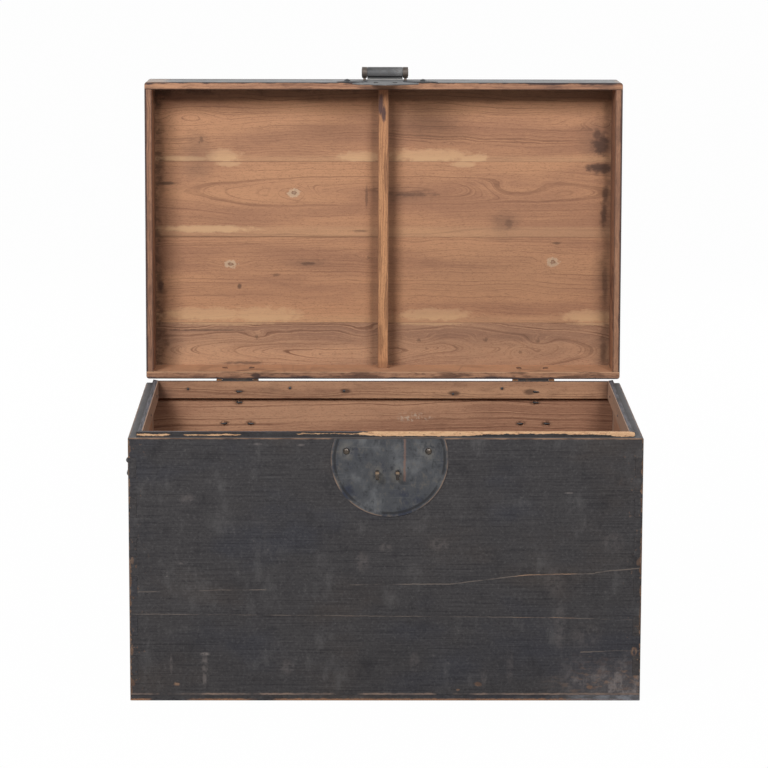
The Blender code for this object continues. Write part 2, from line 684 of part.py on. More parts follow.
# Lock: split plate, nails, staples on the box, eyes and pin on the lid, and the hasp
head = (LOCK_NAIL_HEAD, LOCK_NAIL_DOME)
lower_holes = []
upper_holes = []
for side, label in ((-1, "left"), (1, "right")):
    nail_x = LOCK_X + side * LOCK_NAIL_SPREAD / 2
    lower_holes.append(nail_hole(nail_x, BOX_HEIGHT - LOCK_NAIL_HEIGHT))
    upper_holes.append(nail_hole(nail_x, RIM + LOCK_NAIL_HEIGHT))
    nail = nail_shape("front", nail_x, BOX_HEIGHT - LOCK_NAIL_HEIGHT, LOCK_FACE, WALL - FIT_GAP, *head)
    add_piece("lock_nail_lower_" + label, nail, WORN_BRASS)
    nail = nail_shape("front", nail_x, RIM + LOCK_NAIL_HEIGHT, LOCK_FACE, LID_WALL - FIT_GAP, *head)
    add_lid_piece("lock_nail_upper_" + label, nail, DARK_METAL)
    staple_x = LOCK_X + side * STAPLE_SPREAD / 2
    staple_z = BOX_HEIGHT - STAPLE_BELOW
    lower_holes.append(leg_hole(staple_x, staple_z, STAPLE_WIDTH, STAPLE_STRAP))
    sizes = (STAPLE_REACH, STAPLE_RING, STAPLE_STRAP, STAPLE_WIDTH, STAPLE_WIDTH, WALL)
    staple = strap_eye("front", staple_x, staple_z, *sizes)
    add_piece("lock_staple_" + label, staple, WORN_BRASS)
    eye_x = LOCK_X + side * HASP_EYE_X
    upper_holes.append(leg_hole(eye_x, HASP_AXIS_Z, HASP_EYE_LEG, HASP_EYE_STRAP))
    eye_ring = HASP_PIN + FIT_GAP + HASP_EYE_STRAP / 2
    sizes = (HASP_AXIS_REACH, eye_ring, HASP_EYE_STRAP, HASP_EYE_WIDTH, HASP_EYE_LEG, LID_WALL)
    eye = strap_eye("front", eye_x, HASP_AXIS_Z, *sizes)
    add_lid_piece("hasp_eye_" + label, eye, WORN_BRASS)
add_piece("lock_plate_lower", lock_plate(None, BOX_HEIGHT - LOCK_EDGE, lower_holes), DARK_METAL)
add_lid_piece("lock_plate_upper", lock_plate(RIM + LOCK_EDGE, None, upper_holes), DARK_METAL)
hasp_axis = wall_point("front", LOCK_X, HASP_AXIS_Z, -HASP_AXIS_REACH)
pin_reach = Vector((HASP_EYE_X + HASP_EYE_WIDTH / 2 + KNUCKLE_GAP, 0.0, 0.0))
add_lid_piece("hasp_pin", pin_shape(hasp_axis - pin_reach, hasp_axis + pin_reach, HASP_PIN), DARK_METAL)
add_lid_piece("hasp", hasp_shape(), DARK_METAL, hasp_axis)

# Handles on the two ends: strap eyes and the swinging bail
for end in ("left", "right"):
    for side, label in ((-1, "front"), (1, "back")):
        ring = HANDLE_STUB + FIT_GAP + HANDLE_STRAP / 2
        sizes = (HANDLE_REACH, ring, HANDLE_STRAP, HANDLE_STRAP_WIDTH, HANDLE_STRAP_WIDTH, WALL)
        eye = strap_eye(end, side * HANDLE_SPREAD / 2, HANDLE_Z, *sizes)
        add_piece("handle_eye_" + end + "_" + label, eye, WORN_BRASS)
    pivot = wall_point(end, 0.0, HANDLE_Z, -HANDLE_REACH)
    add_piece("handle_bail_" + end, bail_shape(end), DARK_METAL, pivot)
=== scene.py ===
# %% [markdown]
# # Dressing a lacquered trunk
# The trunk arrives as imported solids: boards, strips, hinges, a lock and two handles, each one
# already in its real place. This lesson adds what the solids cannot carry: the camera, the soft
# light, the worn black lacquer, the bare wood inside, the old metal and the tacks of the lip strips.

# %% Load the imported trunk
import json
import math

import bmesh
import bpy
from mathutils import Matrix, Vector

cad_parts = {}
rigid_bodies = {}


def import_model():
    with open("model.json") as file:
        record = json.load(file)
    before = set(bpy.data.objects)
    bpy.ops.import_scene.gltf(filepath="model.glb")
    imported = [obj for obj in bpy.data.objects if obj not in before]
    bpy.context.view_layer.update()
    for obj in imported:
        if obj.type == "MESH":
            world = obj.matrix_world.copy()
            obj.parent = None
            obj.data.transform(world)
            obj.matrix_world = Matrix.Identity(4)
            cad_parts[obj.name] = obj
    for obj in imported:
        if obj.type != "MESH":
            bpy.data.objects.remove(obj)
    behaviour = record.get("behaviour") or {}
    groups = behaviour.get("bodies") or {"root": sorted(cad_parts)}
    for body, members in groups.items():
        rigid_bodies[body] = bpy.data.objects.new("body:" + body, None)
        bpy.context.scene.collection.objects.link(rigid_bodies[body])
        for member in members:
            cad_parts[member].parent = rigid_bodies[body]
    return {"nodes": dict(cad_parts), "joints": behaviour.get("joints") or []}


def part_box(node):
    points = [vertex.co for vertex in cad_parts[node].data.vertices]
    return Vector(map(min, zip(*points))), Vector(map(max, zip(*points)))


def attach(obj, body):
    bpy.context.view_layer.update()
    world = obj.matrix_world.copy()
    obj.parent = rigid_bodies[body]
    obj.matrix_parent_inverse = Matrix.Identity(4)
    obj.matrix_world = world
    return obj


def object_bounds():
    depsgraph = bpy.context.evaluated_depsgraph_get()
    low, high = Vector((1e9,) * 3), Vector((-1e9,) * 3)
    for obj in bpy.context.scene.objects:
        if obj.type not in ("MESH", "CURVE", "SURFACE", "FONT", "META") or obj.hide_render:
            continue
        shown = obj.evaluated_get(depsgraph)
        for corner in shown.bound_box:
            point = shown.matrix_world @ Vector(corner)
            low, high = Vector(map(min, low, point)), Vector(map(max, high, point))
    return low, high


for stray in list(bpy.data.objects):
    bpy.data.objects.remove(stray, do_unlink=True)
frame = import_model()
nodes = frame["nodes"]
solid_box = [list(corner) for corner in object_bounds()]

# %% [markdown]
# ## Where the camera stands
# The picture of the trunk was taken from about six metres away with a long lens, a little above
# the lid, so that upright edges stay nearly upright. A camera can be aimed with a constraint, but
# three angles measured from the edges of the box are exact, so its matrix is built from those.

# %% The camera
lens_pixels = 3520.8
picture_pixels = 768.0
camera_place = (-0.0573, -6.1689, 1.5899)
pitch, yaw, roll = (math.radians(angle) for angle in (9.959, 0.523, 0.145))
ahead = Vector((math.sin(yaw) * math.cos(pitch), math.cos(yaw) * math.cos(pitch), -math.sin(pitch)))
level = Vector((math.cos(yaw), -math.sin(yaw), 0.0))
above = level.cross(ahead)
right = level * math.cos(roll) + above * math.sin(roll)
upward = above * math.cos(roll) - level * math.sin(roll)
lens = bpy.data.cameras.new("long_lens")
lens.sensor_width = 36.0
lens.lens = lens_pixels * lens.sensor_width / picture_pixels
camera = bpy.data.objects.new("long_lens", lens)
bpy.context.scene.collection.objects.link(camera)
turn = Matrix((right, upward, -ahead)).transposed().to_4x4()
camera.matrix_world = Matrix.Translation(camera_place) @ turn
bpy.context.scene.camera = camera
bpy.context.scene.view_settings.view_transform = "Standard"
print("lens of", round(lens.lens, 1), "mm")

# %% [markdown]
# ## Shader arithmetic
# A worn finish is mostly arithmetic on masks: near an edge, and where the noise is high, but not
# inside. Written as nodes that is hard to read. A strand wraps one socket, so that plus, minus,
# times and divide between strands add the Math nodes, and every other node comes from one method.

# %% A strand of a node tree
class Strand:
    """One socket of a material; arithmetic between strands adds Math nodes."""

    def __init__(self, socket):
        self.socket = socket
        self.tree = socket.id_data

    def node(self, kind, settings=None, values=None, output=0):
        """Add a node of any kind: first its settings, then numbers or strands for its sockets."""
        made = self.tree.nodes.new(kind)
        for name, setting in (settings or {}).items():
            if name == "stops":
                ramp = made.color_ramp
                while len(ramp.elements) < len(setting):
                    ramp.elements.new(1.0)
                for stop, (place, colour) in zip(ramp.elements, setting):
                    stop.position = place
                    stop.color = colour
            else:
                setattr(made, name, setting)
        for key, value in (values or {}).items():
            if isinstance(value, Strand):
                self.tree.links.new(value.socket, made.inputs[key])
            else:
                made.inputs[key].default_value = value
        return Strand(made.outputs[output])

    def math(self, operation, first, second=0.0):
        return self.node("ShaderNodeMath", {"operation": operation}, {0: first, 1: second})

    def __add__(self, other):
        return self.math("ADD", self, other)

    def __radd__(self, other):
        return self.math("ADD", other, self)

    def __sub__(self, other):
        return self.math("SUBTRACT", self, other)

    def __rsub__(self, other):
        return self.math("SUBTRACT", other, self)

    def __mul__(self, other):
        return self.math("MULTIPLY", self, other)

    def __rmul__(self, other):
        return self.math("MULTIPLY", other, self)

    def __truediv__(self, other):
        return self.math("DIVIDE", self, other)

    def __pow__(self, other):
        return self.math("POWER", self, other)

    def __abs__(self):
        return self.math("ABSOLUTE", self)


print("strand ready")

# %% [markdown]
# A few words cover most of what follows. Soft is a smooth step, cloud is noise that may be drawn
# out along the grain, blend mixes two colours by a mask, and most and least join two masks.

# %% Words for masks
def soft(value, low, high):
    """0 at low, 1 at high, smooth between; with low above high it falls instead."""
    return value.node("ShaderNodeMapRange", {"interpolation_type": "SMOOTHSTEP"}, {0: value, 1: low, 2: high})


def span(value, low, high, fade):
    """1 between two numbers, fading outside them."""
    return soft(value, low - fade, low) * soft(value, high + fade, high)


def cloud(place, stretch, detail=3.0, seed=0.0, rough=0.55):
    """Noise about one half, with its own number of waves per metre along each axis."""
    drawn = place.node(
        "ShaderNodeVectorMath",
        {"operation": "MULTIPLY_ADD"},
        {0: place, 1: stretch, 2: (seed * 7.31, seed * 3.17, seed * 5.53)},
    )
    values = {"Vector": drawn, "Scale": 1.0, "Detail": detail, "Roughness": rough}
    return place.node("ShaderNodeTexNoise", {}, values)


def most(first, second):
    return first.math("MAXIMUM", first, second)


def least(first, second):
    return first.math("MINIMUM", first, second)


def split(place):
    """The three numbers of a place."""
    return [place.node("ShaderNodeSeparateXYZ", {}, {0: place}, axis) for axis in range(3)]


def join(first, second, third):
    """A place from three numbers."""
    return first.node("ShaderNodeCombineXYZ", {}, {0: first, 1: second, 2: third})


print("masks ready")

# %% Words for colours and materials
def shade(red, green, blue):
    """Colour as a screen shows it, from 0 to 255, turned into the linear numbers a shader needs."""
    linear = []
    for part in (red, green, blue):
        part /= 255.0
        linear.append(part / 12.92 if part <= 0.04045 else ((part + 0.055) / 1.055) ** 2.4)
    return (*linear, 1.0)


def blend(share, first, second):
    """First colour where the share is 0, second where it is 1."""
    return share.node("ShaderNodeMix", {"data_type": "RGBA"}, {0: share, 6: first, 7: second}, 2)


def layers(colour, *coats):
    """Coats over a colour: each a mask, its value where the coat starts and is full, a share, a shade."""
    for mask, start, full, share, coat in coats:
        colour = blend(soft(mask, start, full) * share, colour, coat)
    return colour


def start_finish(name):
    """New material with its shader and the place of each point in metres on the trunk."""
    material = bpy.data.materials.new(name)
    material.use_nodes = True
    tree = material.node_tree
    place = Strand(tree.nodes.new("ShaderNodeTexCoord").outputs["Object"])
    return material, tree.nodes["Principled BSDF"], place


def apply_finish(surface, colour, roughness, height, relief, gleam=0.5, metal=0.0):
    """Feed the shader: colour, roughness and relief in metres, then its plain gleam and metal share."""
    bump = height.node("ShaderNodeBump", {}, {"Strength": 1.0, "Distance": relief, "Height": height})
    for name, strand in (("Base Color", colour), ("Roughness", roughness), ("Normal", bump)):
        surface.id_data.links.new(strand.socket, surface.inputs[name])
    surface.inputs["Specular IOR Level"].default_value = gleam
    surface.inputs["Metallic"].default_value = metal


def dress(names, material):
    """Give one material to several solids."""
    for name in names:
        nodes[name].data.materials.clear()
        nodes[name].data.materials.append(material)
    print(material.name, "on", len(names), "pieces,", len(material.node_tree.nodes), "nodes")


print("white reads", shade(255, 255, 255), "mid grey reads", shade(128, 128, 128))

# %% [markdown]
# ## Floor, backdrop and light
# The trunk stands on a plain pale floor in front of nothing. The floor is an ordinary matt surface
# for the light that reaches the trunk, and nearly white to the camera, so it keeps a faint shadow
# without any extra light. Light Path tells the two kinds of ray apart.

# %% The floor
def white_to_camera(tree, share):
    """Share of plain white that a surface shows to camera, mirror and glass rays only."""
    rays = tree.nodes.new("ShaderNodeLightPath")
    seen = most(Strand(rays.outputs["Is Camera Ray"]), Strand(rays.outputs["Is Glossy Ray"]))
    return most(seen, Strand(rays.outputs["Is Transmission Ray"])) * share


floor_gap, floor_half, floor_back = 0.0004, 20.0, 6.0
floor_grey, floor_white = 0.80, 0.985
floor_height = solid_box[0][2] - floor_gap
plate = bmesh.new()
bmesh.ops.create_grid(plate, x_segments=1, y_segments=1, size=floor_half)
bmesh.ops.translate(plate, verts=plate.verts, vec=(0.0, floor_back, floor_height))
floor_mesh = bpy.data.meshes.new("floor")
plate.to_mesh(floor_mesh)
plate.free()
floor = bpy.data.objects.new("floor", floor_mesh)
bpy.context.scene.collection.objects.link(floor)

floor_finish = bpy.data.materials.new("pale_floor")
floor_finish.use_nodes = True
floor_tree = floor_finish.node_tree
matt = floor_tree.nodes["Principled BSDF"]
matt.inputs["Base Color"].default_value = (floor_grey, floor_grey, floor_grey, 1.0)
matt.inputs["Roughness"].default_value = 0.9
share = white_to_camera(floor_tree, floor_white)
glow = share.node("ShaderNodeEmission", {}, {"Color": (1.0, 1.0, 1.0, 1.0), "Strength": 1.0})
seen_floor = share.node("ShaderNodeMixShader", {}, {0: share, 1: Strand(matt.outputs[0]), 2: glow})
floor_tree.links.new(seen_floor.socket, floor_tree.nodes["Material Output"].inputs["Surface"])
floor_mesh.materials.append(floor_finish)
print("floor at", round(floor_height, 4))

# %% The sky around it
world = bpy.data.worlds.new("studio")
bpy.context.scene.world = world
world.use_nodes = True
sky_tree = world.node_tree
sky = sky_tree.nodes["Background"]
sky_level = 0.12
strength = white_to_camera(sky_tree, 1.0 - sky_level) + sky_level
sky.inputs["Color"].default_value = (1.0, 1.0, 1.0, 1.0)
sky_tree.links.new(strength.socket, sky.inputs["Strength"])
print("sky lights the trunk at", sky_level)

# %% [markdown]
# Two soft boxes stand high on either side of the camera, the left one stronger and farther away.
# The skirt and the batten throw shadows to both sides and downward, and their widths were measured
# to place the lamps: a shadow as wide as half the depth of its edge needs a lamp about 27 degrees
# aside. Two more stand behind the trunk, out of sight of its front, for views from the back.

# %% Soft boxes
def soft_box(name, place, aim, wide, tall, watts):
    """Large area lamp aimed at a point."""
    lamp = bpy.data.lights.new(name, "AREA")
    lamp.shape = "RECTANGLE"
    lamp.size = wide
    lamp.size_y = tall
    lamp.energy = watts
    box = bpy.data.objects.new(name, lamp)
    bpy.context.scene.collection.objects.link(box)
    box.location = place
    box.rotation_euler = (Vector(aim) - Vector(place)).to_track_quat("-Z", "Y").to_euler()
    print(name, "at", watts, "watts")


soft_box("soft_left", (-1.46, -2.70, 2.36), (0.0, 0.1, 0.6), 1.05, 1.0, 86.0)
soft_box("soft_right", (0.85, -1.65, 1.85), (0.0, 0.1, 0.6), 0.50, 0.6, 17.0)
for name, aside in (("back_left", -2.4), ("back_right", 2.4)):
    soft_box(name, (aside, 3.4, 1.9), (0.0, 0.2, 0.5), 3.0, 2.6, 70.0)

# %% [markdown]
# ## Bare wood
# Inside, the boards are unpainted softwood. Its arches come from cutting a tree of slowly narrowing
# rings lengthwise: the distance from the heart, worked out at each point of the board, gives rings
# for any board. Noise read along that distance makes good and bad years, so no two rings are alike.

# %% Grain of a board
def ring_distance(board, heart, lean, seed, wave=0.036):
    """Distance from the heart of a tree that grew in waves, for a board whose length is its first axis."""
    along, deep, across = split(board)
    sway = cloud(board, (1.8, 1.0, 6.0), 2.0, seed) - 0.5
    ripple = cloud(board, (11.0, 1.0, 26.0), 3.0, seed + 1.0) - 0.5
    aside = across - heart[1] + (sway + ripple * 0.28) * wave
    below = (along - heart[0]) * lean
    return (aside * aside + below * below) ** 0.5


def timber(board, rings, spacing, seed):
    """Masks of a bare board: years of the rings, fibres, pores, broad tone and fading of the rings."""
    values = {"W": rings / spacing + seed, "Scale": 1.0, "Detail": 3.0, "Roughness": 0.72}
    years = rings.node("ShaderNodeTexNoise", {"noise_dimensions": "1D"}, values)
    fading = soft(cloud(board, (6.0, 3.0, 30.0), 3.0, seed + 2.0), 0.34, 0.62) * 0.9 + 0.35
    fibre = cloud(board, (90.0, 90.0, 540.0), 4.0, seed + 3.0, 0.72)
    pores = soft(cloud(board, (260.0, 300.0, 900.0), 2.0, seed + 4.0), 0.56, 0.72)
    tone = cloud(board, (2.2, 3.0, 16.0), 5.0, seed + 5.0, 0.6)
    return years, fibre, pores, tone, fading


def bare_colour(masks, light, dark, line, rings=0.42):
    """Colour of bare wood from its masks and three shades; its rings come and go along the board."""
    years, fibre, pores, tone, fading = masks
    colour = blend(soft(tone, 0.36, 0.64), dark, light)
    colour = blend(soft(years, 0.515, 0.64) * fading * rings, colour, line)
    colour = blend(soft(years, 0.485, 0.36) * fading * rings * 0.8, colour, light)
    colour = layers(colour, (fibre, 0.50, 0.76, 0.50, line), (fibre, 0.47, 0.24, 0.46, light))
    return blend(pores * 0.46, colour, line)


tan_light, tan_dark, tan_line = shade(194, 145, 110), shade(168, 123, 96), shade(118, 82, 64)
wood_gleam = 0.22
print("bare wood from", tan_dark[:3], "to", tan_light[:3])

# %% [markdown]
# Stains, glue and knots are spots: an ellipse whose rim is torn by noise. A list of them per board
# is easier to read and to change than a painted image, and every spot stays where it is put.
# One noise serves all the spots of a board, because each spot lies in another part of it.

# %% Spots and cracks
def all_spots(x, z, noise, marks, tear, fade=0.6):
    """Torn ellipses, each a middle, two half widths and perhaps a strength, in one mask."""
    mask = None
    for middle_x, middle_z, half_x, half_z, *strength in marks:
        far_x = (x - middle_x) / half_x
        far_z = (z - middle_z) / half_z
        reach = (far_x * far_x + far_z * far_z) ** 0.5
        spot = soft(reach + (noise - 0.5) * tear, 0.9 + fade / 2.0, 0.9 - fade / 2.0)
        if strength:
            spot = spot * strength[0]
        mask = spot if mask is None else most(mask, spot)
    return mask


def crack(x, z, shake, points, width):
    """Thin line across a board through a few points, as the share of it at each place."""
    first, last = points[0][0], points[-1][0]
    low = min(height for along, height in points) - 0.001
    rise = max(height for along, height in points) - low + 0.001
    run = (x - first) / (last - first)
    stops = []
    for along, height in points:
        grey = (height - low) / rise
        stops.append(((along - first) / (last - first), (grey, grey, grey, 1.0)))
    line = run.node("ShaderNodeValToRGB", {"stops": stops}, {0: run}) * rise + low
    return soft(abs(z - line + shake), width, width * 0.35) * span(run, 0.01, 0.99, 0.02)


print("spots and cracks ready")

# %% [markdown]
# ## Black lacquer
# The outside was lacquered black long ago and has turned to charcoal. It is thin, so the grain
# telegraphs through as fine level lines. Some places are bluer, some browner, hands and cloths have
# left smudges, and along the arrises it is rubbed through to brown wood. It has almost no gleam left.

# %% The lacquer coat
charcoal, blue_black, brown_black = shade(61, 59, 60), shade(56, 56, 61), shade(66, 61, 59)
smudge_grey, deep_black, pale_fleck = shade(90, 88, 88), shade(36, 35, 38), shade(132, 122, 114)
rubbed_dark, rubbed_light = shade(98, 76, 63), shade(158, 126, 102)
lacquer_gleam = 0.08


def lacquer(board, seed):
    """Colour, roughness and height of the old lacquer on a board whose length is its first axis."""
    drift = cloud(board, (3.4, 3.4, 6.5), 4.0, seed)
    lines = cloud(board, (9.0, 80.0, 400.0), 4.0, seed + 1.0, 0.64)
    weave = cloud(board, (190.0, 190.0, 230.0), 3.0, seed + 2.0, 0.62)
    smudge = cloud(board, (26.0, 26.0, 17.0), 6.0, seed + 3.0, 0.70)
    wiped = cloud(board, (9.0, 9.0, 12.0), 6.0, seed + 4.0, 0.68)
    colour = layers(
        charcoal,
        (drift, 0.50, 0.66, 0.80, blue_black), (drift, 0.47, 0.32, 0.70, brown_black),
        (lines, 0.52, 0.26, 0.62, deep_black), (lines, 0.54, 0.78, 0.30, smudge_grey),
        (weave, 0.50, 0.80, 0.46, smudge_grey), (weave, 0.48, 0.22, 0.60, deep_black),
        (smudge, 0.52, 0.78, 0.58, smudge_grey), (smudge, 0.46, 0.26, 0.52, deep_black),
        (wiped, 0.56, 0.74, 0.16, smudge_grey), (wiped, 0.46, 0.30, 0.20, deep_black),
    )
    flecks = soft(weave, 0.66, 0.74) * soft(smudge, 0.54, 0.66)
    colour = blend(flecks * 0.35, colour, pale_fleck)
    roughness = 0.52 + soft(smudge, 0.35, 0.75) * 0.16 - soft(drift, 0.5, 0.7) * 0.06
    return colour, roughness, lines * 0.6 + weave * 0.3


print("lacquer from", deep_black[:3], "to", smudge_grey[:3])

# %% [markdown]
# ## Boards of the box
# A wall board is lacquered outside and bare inside. How deep a point lies behind the outer face of
# its wall, and how far it lies from the end of that wall, tells the two apart, so one material does
# every side of a board, finger ends too. Rust has bled into the wood where hinge nails come through.

# %% Sizes of the box
def named(start):
    """Names of the solids that start with a word."""
    return [name for name in nodes if name.startswith(start)]


def middle(name):
    """Middle of a solid's box, across and up."""
    low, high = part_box(name)
    return (low.x + high.x) / 2.0, (low.z + high.z) / 2.0


sides = ("front", "back", "left", "right")
half_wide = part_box("front_board_upper")[1].x
half_deep = -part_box("left_board_upper")[0].y
rim_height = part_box("front_board_upper")[1].z
wall_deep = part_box("front_board_upper")[1].y + half_deep
strip_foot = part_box("lip_strip_back")[0].z
rust_wide, rust_tall = 0.0110, 0.0060
nail_rust = [(*middle(name), rust_wide, rust_tall) for name in named("hinge_nail_box")]
print("box", round(half_wide * 2, 4), "by", round(half_deep * 2, 4), "by", round(rim_height, 4))
print("rust round", len(nail_rust), "hinge nails")

# %% A wall board
def wall_axes(place, side):
    """A wall's own axes: its board with the grain first, depth from the face, distance from its end."""
    x, y, z = split(place)
    if side in ("front", "back"):
        deep = y + half_deep if side == "front" else half_deep - y
        return place, deep, half_wide - abs(x)
    deep = x + half_wide if side == "left" else half_wide - x
    return join(y, x, z), deep, half_deep - abs(y)


# Pale grey that lightens the side walls and side strips: painted light, with some dust.
pale_dust_and_painted_light = shade(176, 158, 144)


def bare_inside(board, end, place, side, seed):
    """Colour and height of the bare inside of a wall, with painted shade and soil in its corners."""
    x, y, z = split(place)
    masks = timber(board, ring_distance(board, (0.10, 0.30), 0.09, seed), 0.0046, seed)
    colour = bare_colour(masks, shade(192, 148, 118), shade(163, 121, 97), shade(112, 76, 60), 0.60)
    haze = cloud(place, (18.0, 18.0, 18.0), 4.0, seed + 6.0)
    # Darker towards the inner corners: painted shade where the walls meet, mixed with soil and haze.
    corner_shade_and_soil = soft(end - wall_deep + (haze - 0.5) * 0.05, 0.070, 0.012)
    corner_shade_and_soil = most(corner_shade_and_soil, soft(haze, 0.52, 0.78) * 0.4)
    if side in ("left", "right"):
        # Side walls are painted lighter and greyer: painted light on faces the lamps barely reach, with some
        # dust.
        colour = blend(0.14 + corner_shade_and_soil * 0.3, colour, pale_dust_and_painted_light)
    else:
        colour = blend(corner_shade_and_soil * 0.45, colour, shade(84, 56, 46))
    fine = cloud(place, (170.0, 170.0, 170.0), 4.0, seed + 7.0)
    # Dark line where the strip meets the wall below it: painted shadow under the strip.
    painted_crevice_shadow = soft(abs(z - strip_foot + (fine - 0.5) * 0.002), 0.0026, 0.0010)
    colour = blend(painted_crevice_shadow * 0.85, colour, shade(40, 28, 24))
    if side == "back":
        rust = all_spots(x, z, fine, nail_rust, 1.9) * soft(fine, 0.36, 0.56)
        colour = blend(rust * 0.75, colour, shade(66, 46, 38))
        chalk = all_spots(x, z, haze, ((0.066, 0.399, 0.034, 0.011),), 1.6) * soft(fine, 0.48, 0.62)
        colour = blend(chalk * 0.45, colour, shade(208, 196, 178))
    return colour, masks[1]


def box_board(name, side, seed):
    """Lacquered outside, bare inside, with rubbed arrises."""
    material, surface, place = start_finish(name)
    x, y, z = split(place)
    board, deep, end = wall_axes(place, side)
    colour, roughness, height = lacquer(board, seed)
    nibble = cloud(place, (120.0, 120.0, 120.0), 4.0, seed + 8.0)
    patchy = cloud(place, (24.0, 24.0, 24.0), 3.0, seed + 9.0)
    corner = most(deep, end)
    arris = soft(corner + (nibble - 0.5) * 0.010 + (patchy - 0.5) * 0.018, 0.0028, 0.0004)
    brow = soft(rim_height - z + (nibble - 0.5) * 0.002, 0.0022, 0.0008) * soft(deep, 0.004, 0.0018)
    flecks = soft(nibble, 0.64, 0.72) * soft(corner + (patchy - 0.5) * 0.09, 0.040, 0.0)
    worn = most(most(arris, brow * 0.8), flecks * 0.8)
    if side == "front":
        at_rim = soft(z, rim_height - 0.010, rim_height - 0.006)
        worn = worn * (1.0 - span(x, -0.090, 0.095, 0.008) * at_rim * 0.8)
        worn, scuffs, lines = front_marks(x, z, place, nibble, worn)
        colour = blend(scuffs * 0.8, colour, shade(146, 136, 132))
        colour = blend(lines * 0.8, colour, shade(112, 102, 95))
    colour = blend(worn * 0.85, colour, blend(soft(patchy, 0.35, 0.65), rubbed_dark, rubbed_light))
    # Painted grey sheen on the top face of the wall.
    ledge = soft(z, rim_height - 0.0012, rim_height - 0.0004) * soft(deep, 0.0012, 0.0026)
    colour = blend(ledge * 0.50, colour, shade(100, 99, 101))
    # Painted shadow along the inner edge of that top face, where the strip steps up from it.
    colour = blend(ledge * soft(deep, wall_deep - 0.0055, wall_deep - 0.0015) * 0.40, colour, deep_black)
    wood, fibre = bare_inside(board, end, place, side, seed + 20.0)
    inner = soft(least(deep, end), wall_deep - 0.0012, wall_deep - 0.0006)
    inner = inner * soft(z, rim_height - 0.0004, rim_height - 0.0012)
    colour = blend(inner, colour, wood)
    roughness = roughness * (1.0 - inner) + inner * 0.72 + worn * 0.1
    height = height * (1.0 - inner) + fibre * 0.6 * inner - worn * 0.7
    apply_finish(surface, colour, roughness, height, 0.0004, lacquer_gleam)
    return material


print("wall recipe ready")

# %% [markdown]
# The front carries the marks of its own history: three cracks, one of them in two stretches, the
# brown seam between its boards, nicks, two of them hollow, a long pale scrape low on the left and a
# rubbed corner low on the right. Each mark is a line of a list, so a reader can try another history.

# %% Marks of the front
front_cracks = (
    (((-0.432, 0.1925), (-0.396, 0.1925), (-0.331, 0.1940), (-0.281, 0.1956), (-0.205, 0.1960)), 0.0010),
    (((-0.060, 0.2050), (0.060, 0.2062), (0.114, 0.2064), (0.239, 0.2223), (0.308, 0.2240), (0.360, 0.2250)),
     0.0011),
    (((0.360, 0.2262), (0.384, 0.2300), (0.410, 0.2318), (0.437, 0.2347)), 0.0012),
    (((0.336, 0.0862), (0.370, 0.0872), (0.400, 0.0890), (0.437, 0.0885)), 0.0013),
    (((-0.436, 0.1533), (-0.150, 0.1510), (0.100, 0.1490), (0.300, 0.1470), (0.437, 0.1430)), 0.0008),
)
front_nicks = (
    (0.1601, 0.0294, 0.0080, 0.0040),
    (0.3535, 0.0241, 0.0060, 0.0036),
    (-0.3592, 0.0293, 0.0060, 0.0036),
    (0.4290, 0.0860, 0.0050, 0.0090),
    (-0.4300, 0.1985, 0.0060, 0.0050),
    (0.1260, 0.0190, 0.0030, 0.0020),
    (0.4340, 0.2450, 0.0036, 0.0060, 0.6),
    (0.4380, 0.3700, 0.0024, 0.0030),
    (-0.4340, 0.2480, 0.0030, 0.0070, 0.6),
    (0.4320, 0.0480, 0.0050, 0.0080),
    (-0.4370, 0.2150, 0.0040, 0.0040),
    (-0.4360, 0.1870, 0.0050, 0.0050),
    (-0.4370, 0.0880, 0.0040, 0.0110),
    (-0.4350, 0.0310, 0.0040, 0.0070),
    (-0.4380, 0.3560, 0.0030, 0.0030),
)
front_hollows = ((0.4290, 0.0860, 0.0028, 0.0058), (0.4325, 0.0480, 0.0028, 0.0040))
front_scuffs = (
    (-0.3106, 0.0826, 0.0090, 0.0034, 0.7),
    (-0.3110, 0.0640, 0.0060, 0.0200, 0.4),
    (-0.3115, 0.0380, 0.0040, 0.0160, 0.4),
    (-0.3690, 0.0640, 0.0030, 0.0170, 0.3),
    (0.3133, 0.3660, 0.0085, 0.0013, 0.7),
    (-0.2180, 0.4509, 0.0075, 0.0026, 0.4),
    (-0.1447, 0.4492, 0.0080, 0.0024, 0.4),
    (-0.3500, 0.2440, 0.0110, 0.0036, 0.3),
    (-0.0400, 0.2460, 0.0130, 0.0200, 0.2),
    (-0.3400, 0.3560, 0.0140, 0.0110, 0.2),
    (0.0900, 0.2760, 0.0200, 0.0120, 0.2),
    (0.0000, 0.2700, 0.0130, 0.0100, 0.2),
    (-0.1700, 0.0600, 0.0120, 0.0150, 0.2),
    (0.2150, 0.0600, 0.0070, 0.0300, 0.16),
    (0.3000, 0.1300, 0.0120, 0.0500, 0.16),
    (0.2900, 0.2100, 0.0200, 0.0300, 0.14),
    (0.1700, 0.0420, 0.0060, 0.0200, 0.16),
    (0.3450, 0.1150, 0.0300, 0.0260, 0.14),
    (0.0500, 0.0700, 0.0100, 0.0200, 0.14),
    (0.3900, 0.2800, 0.0220, 0.0200, 0.14),
)


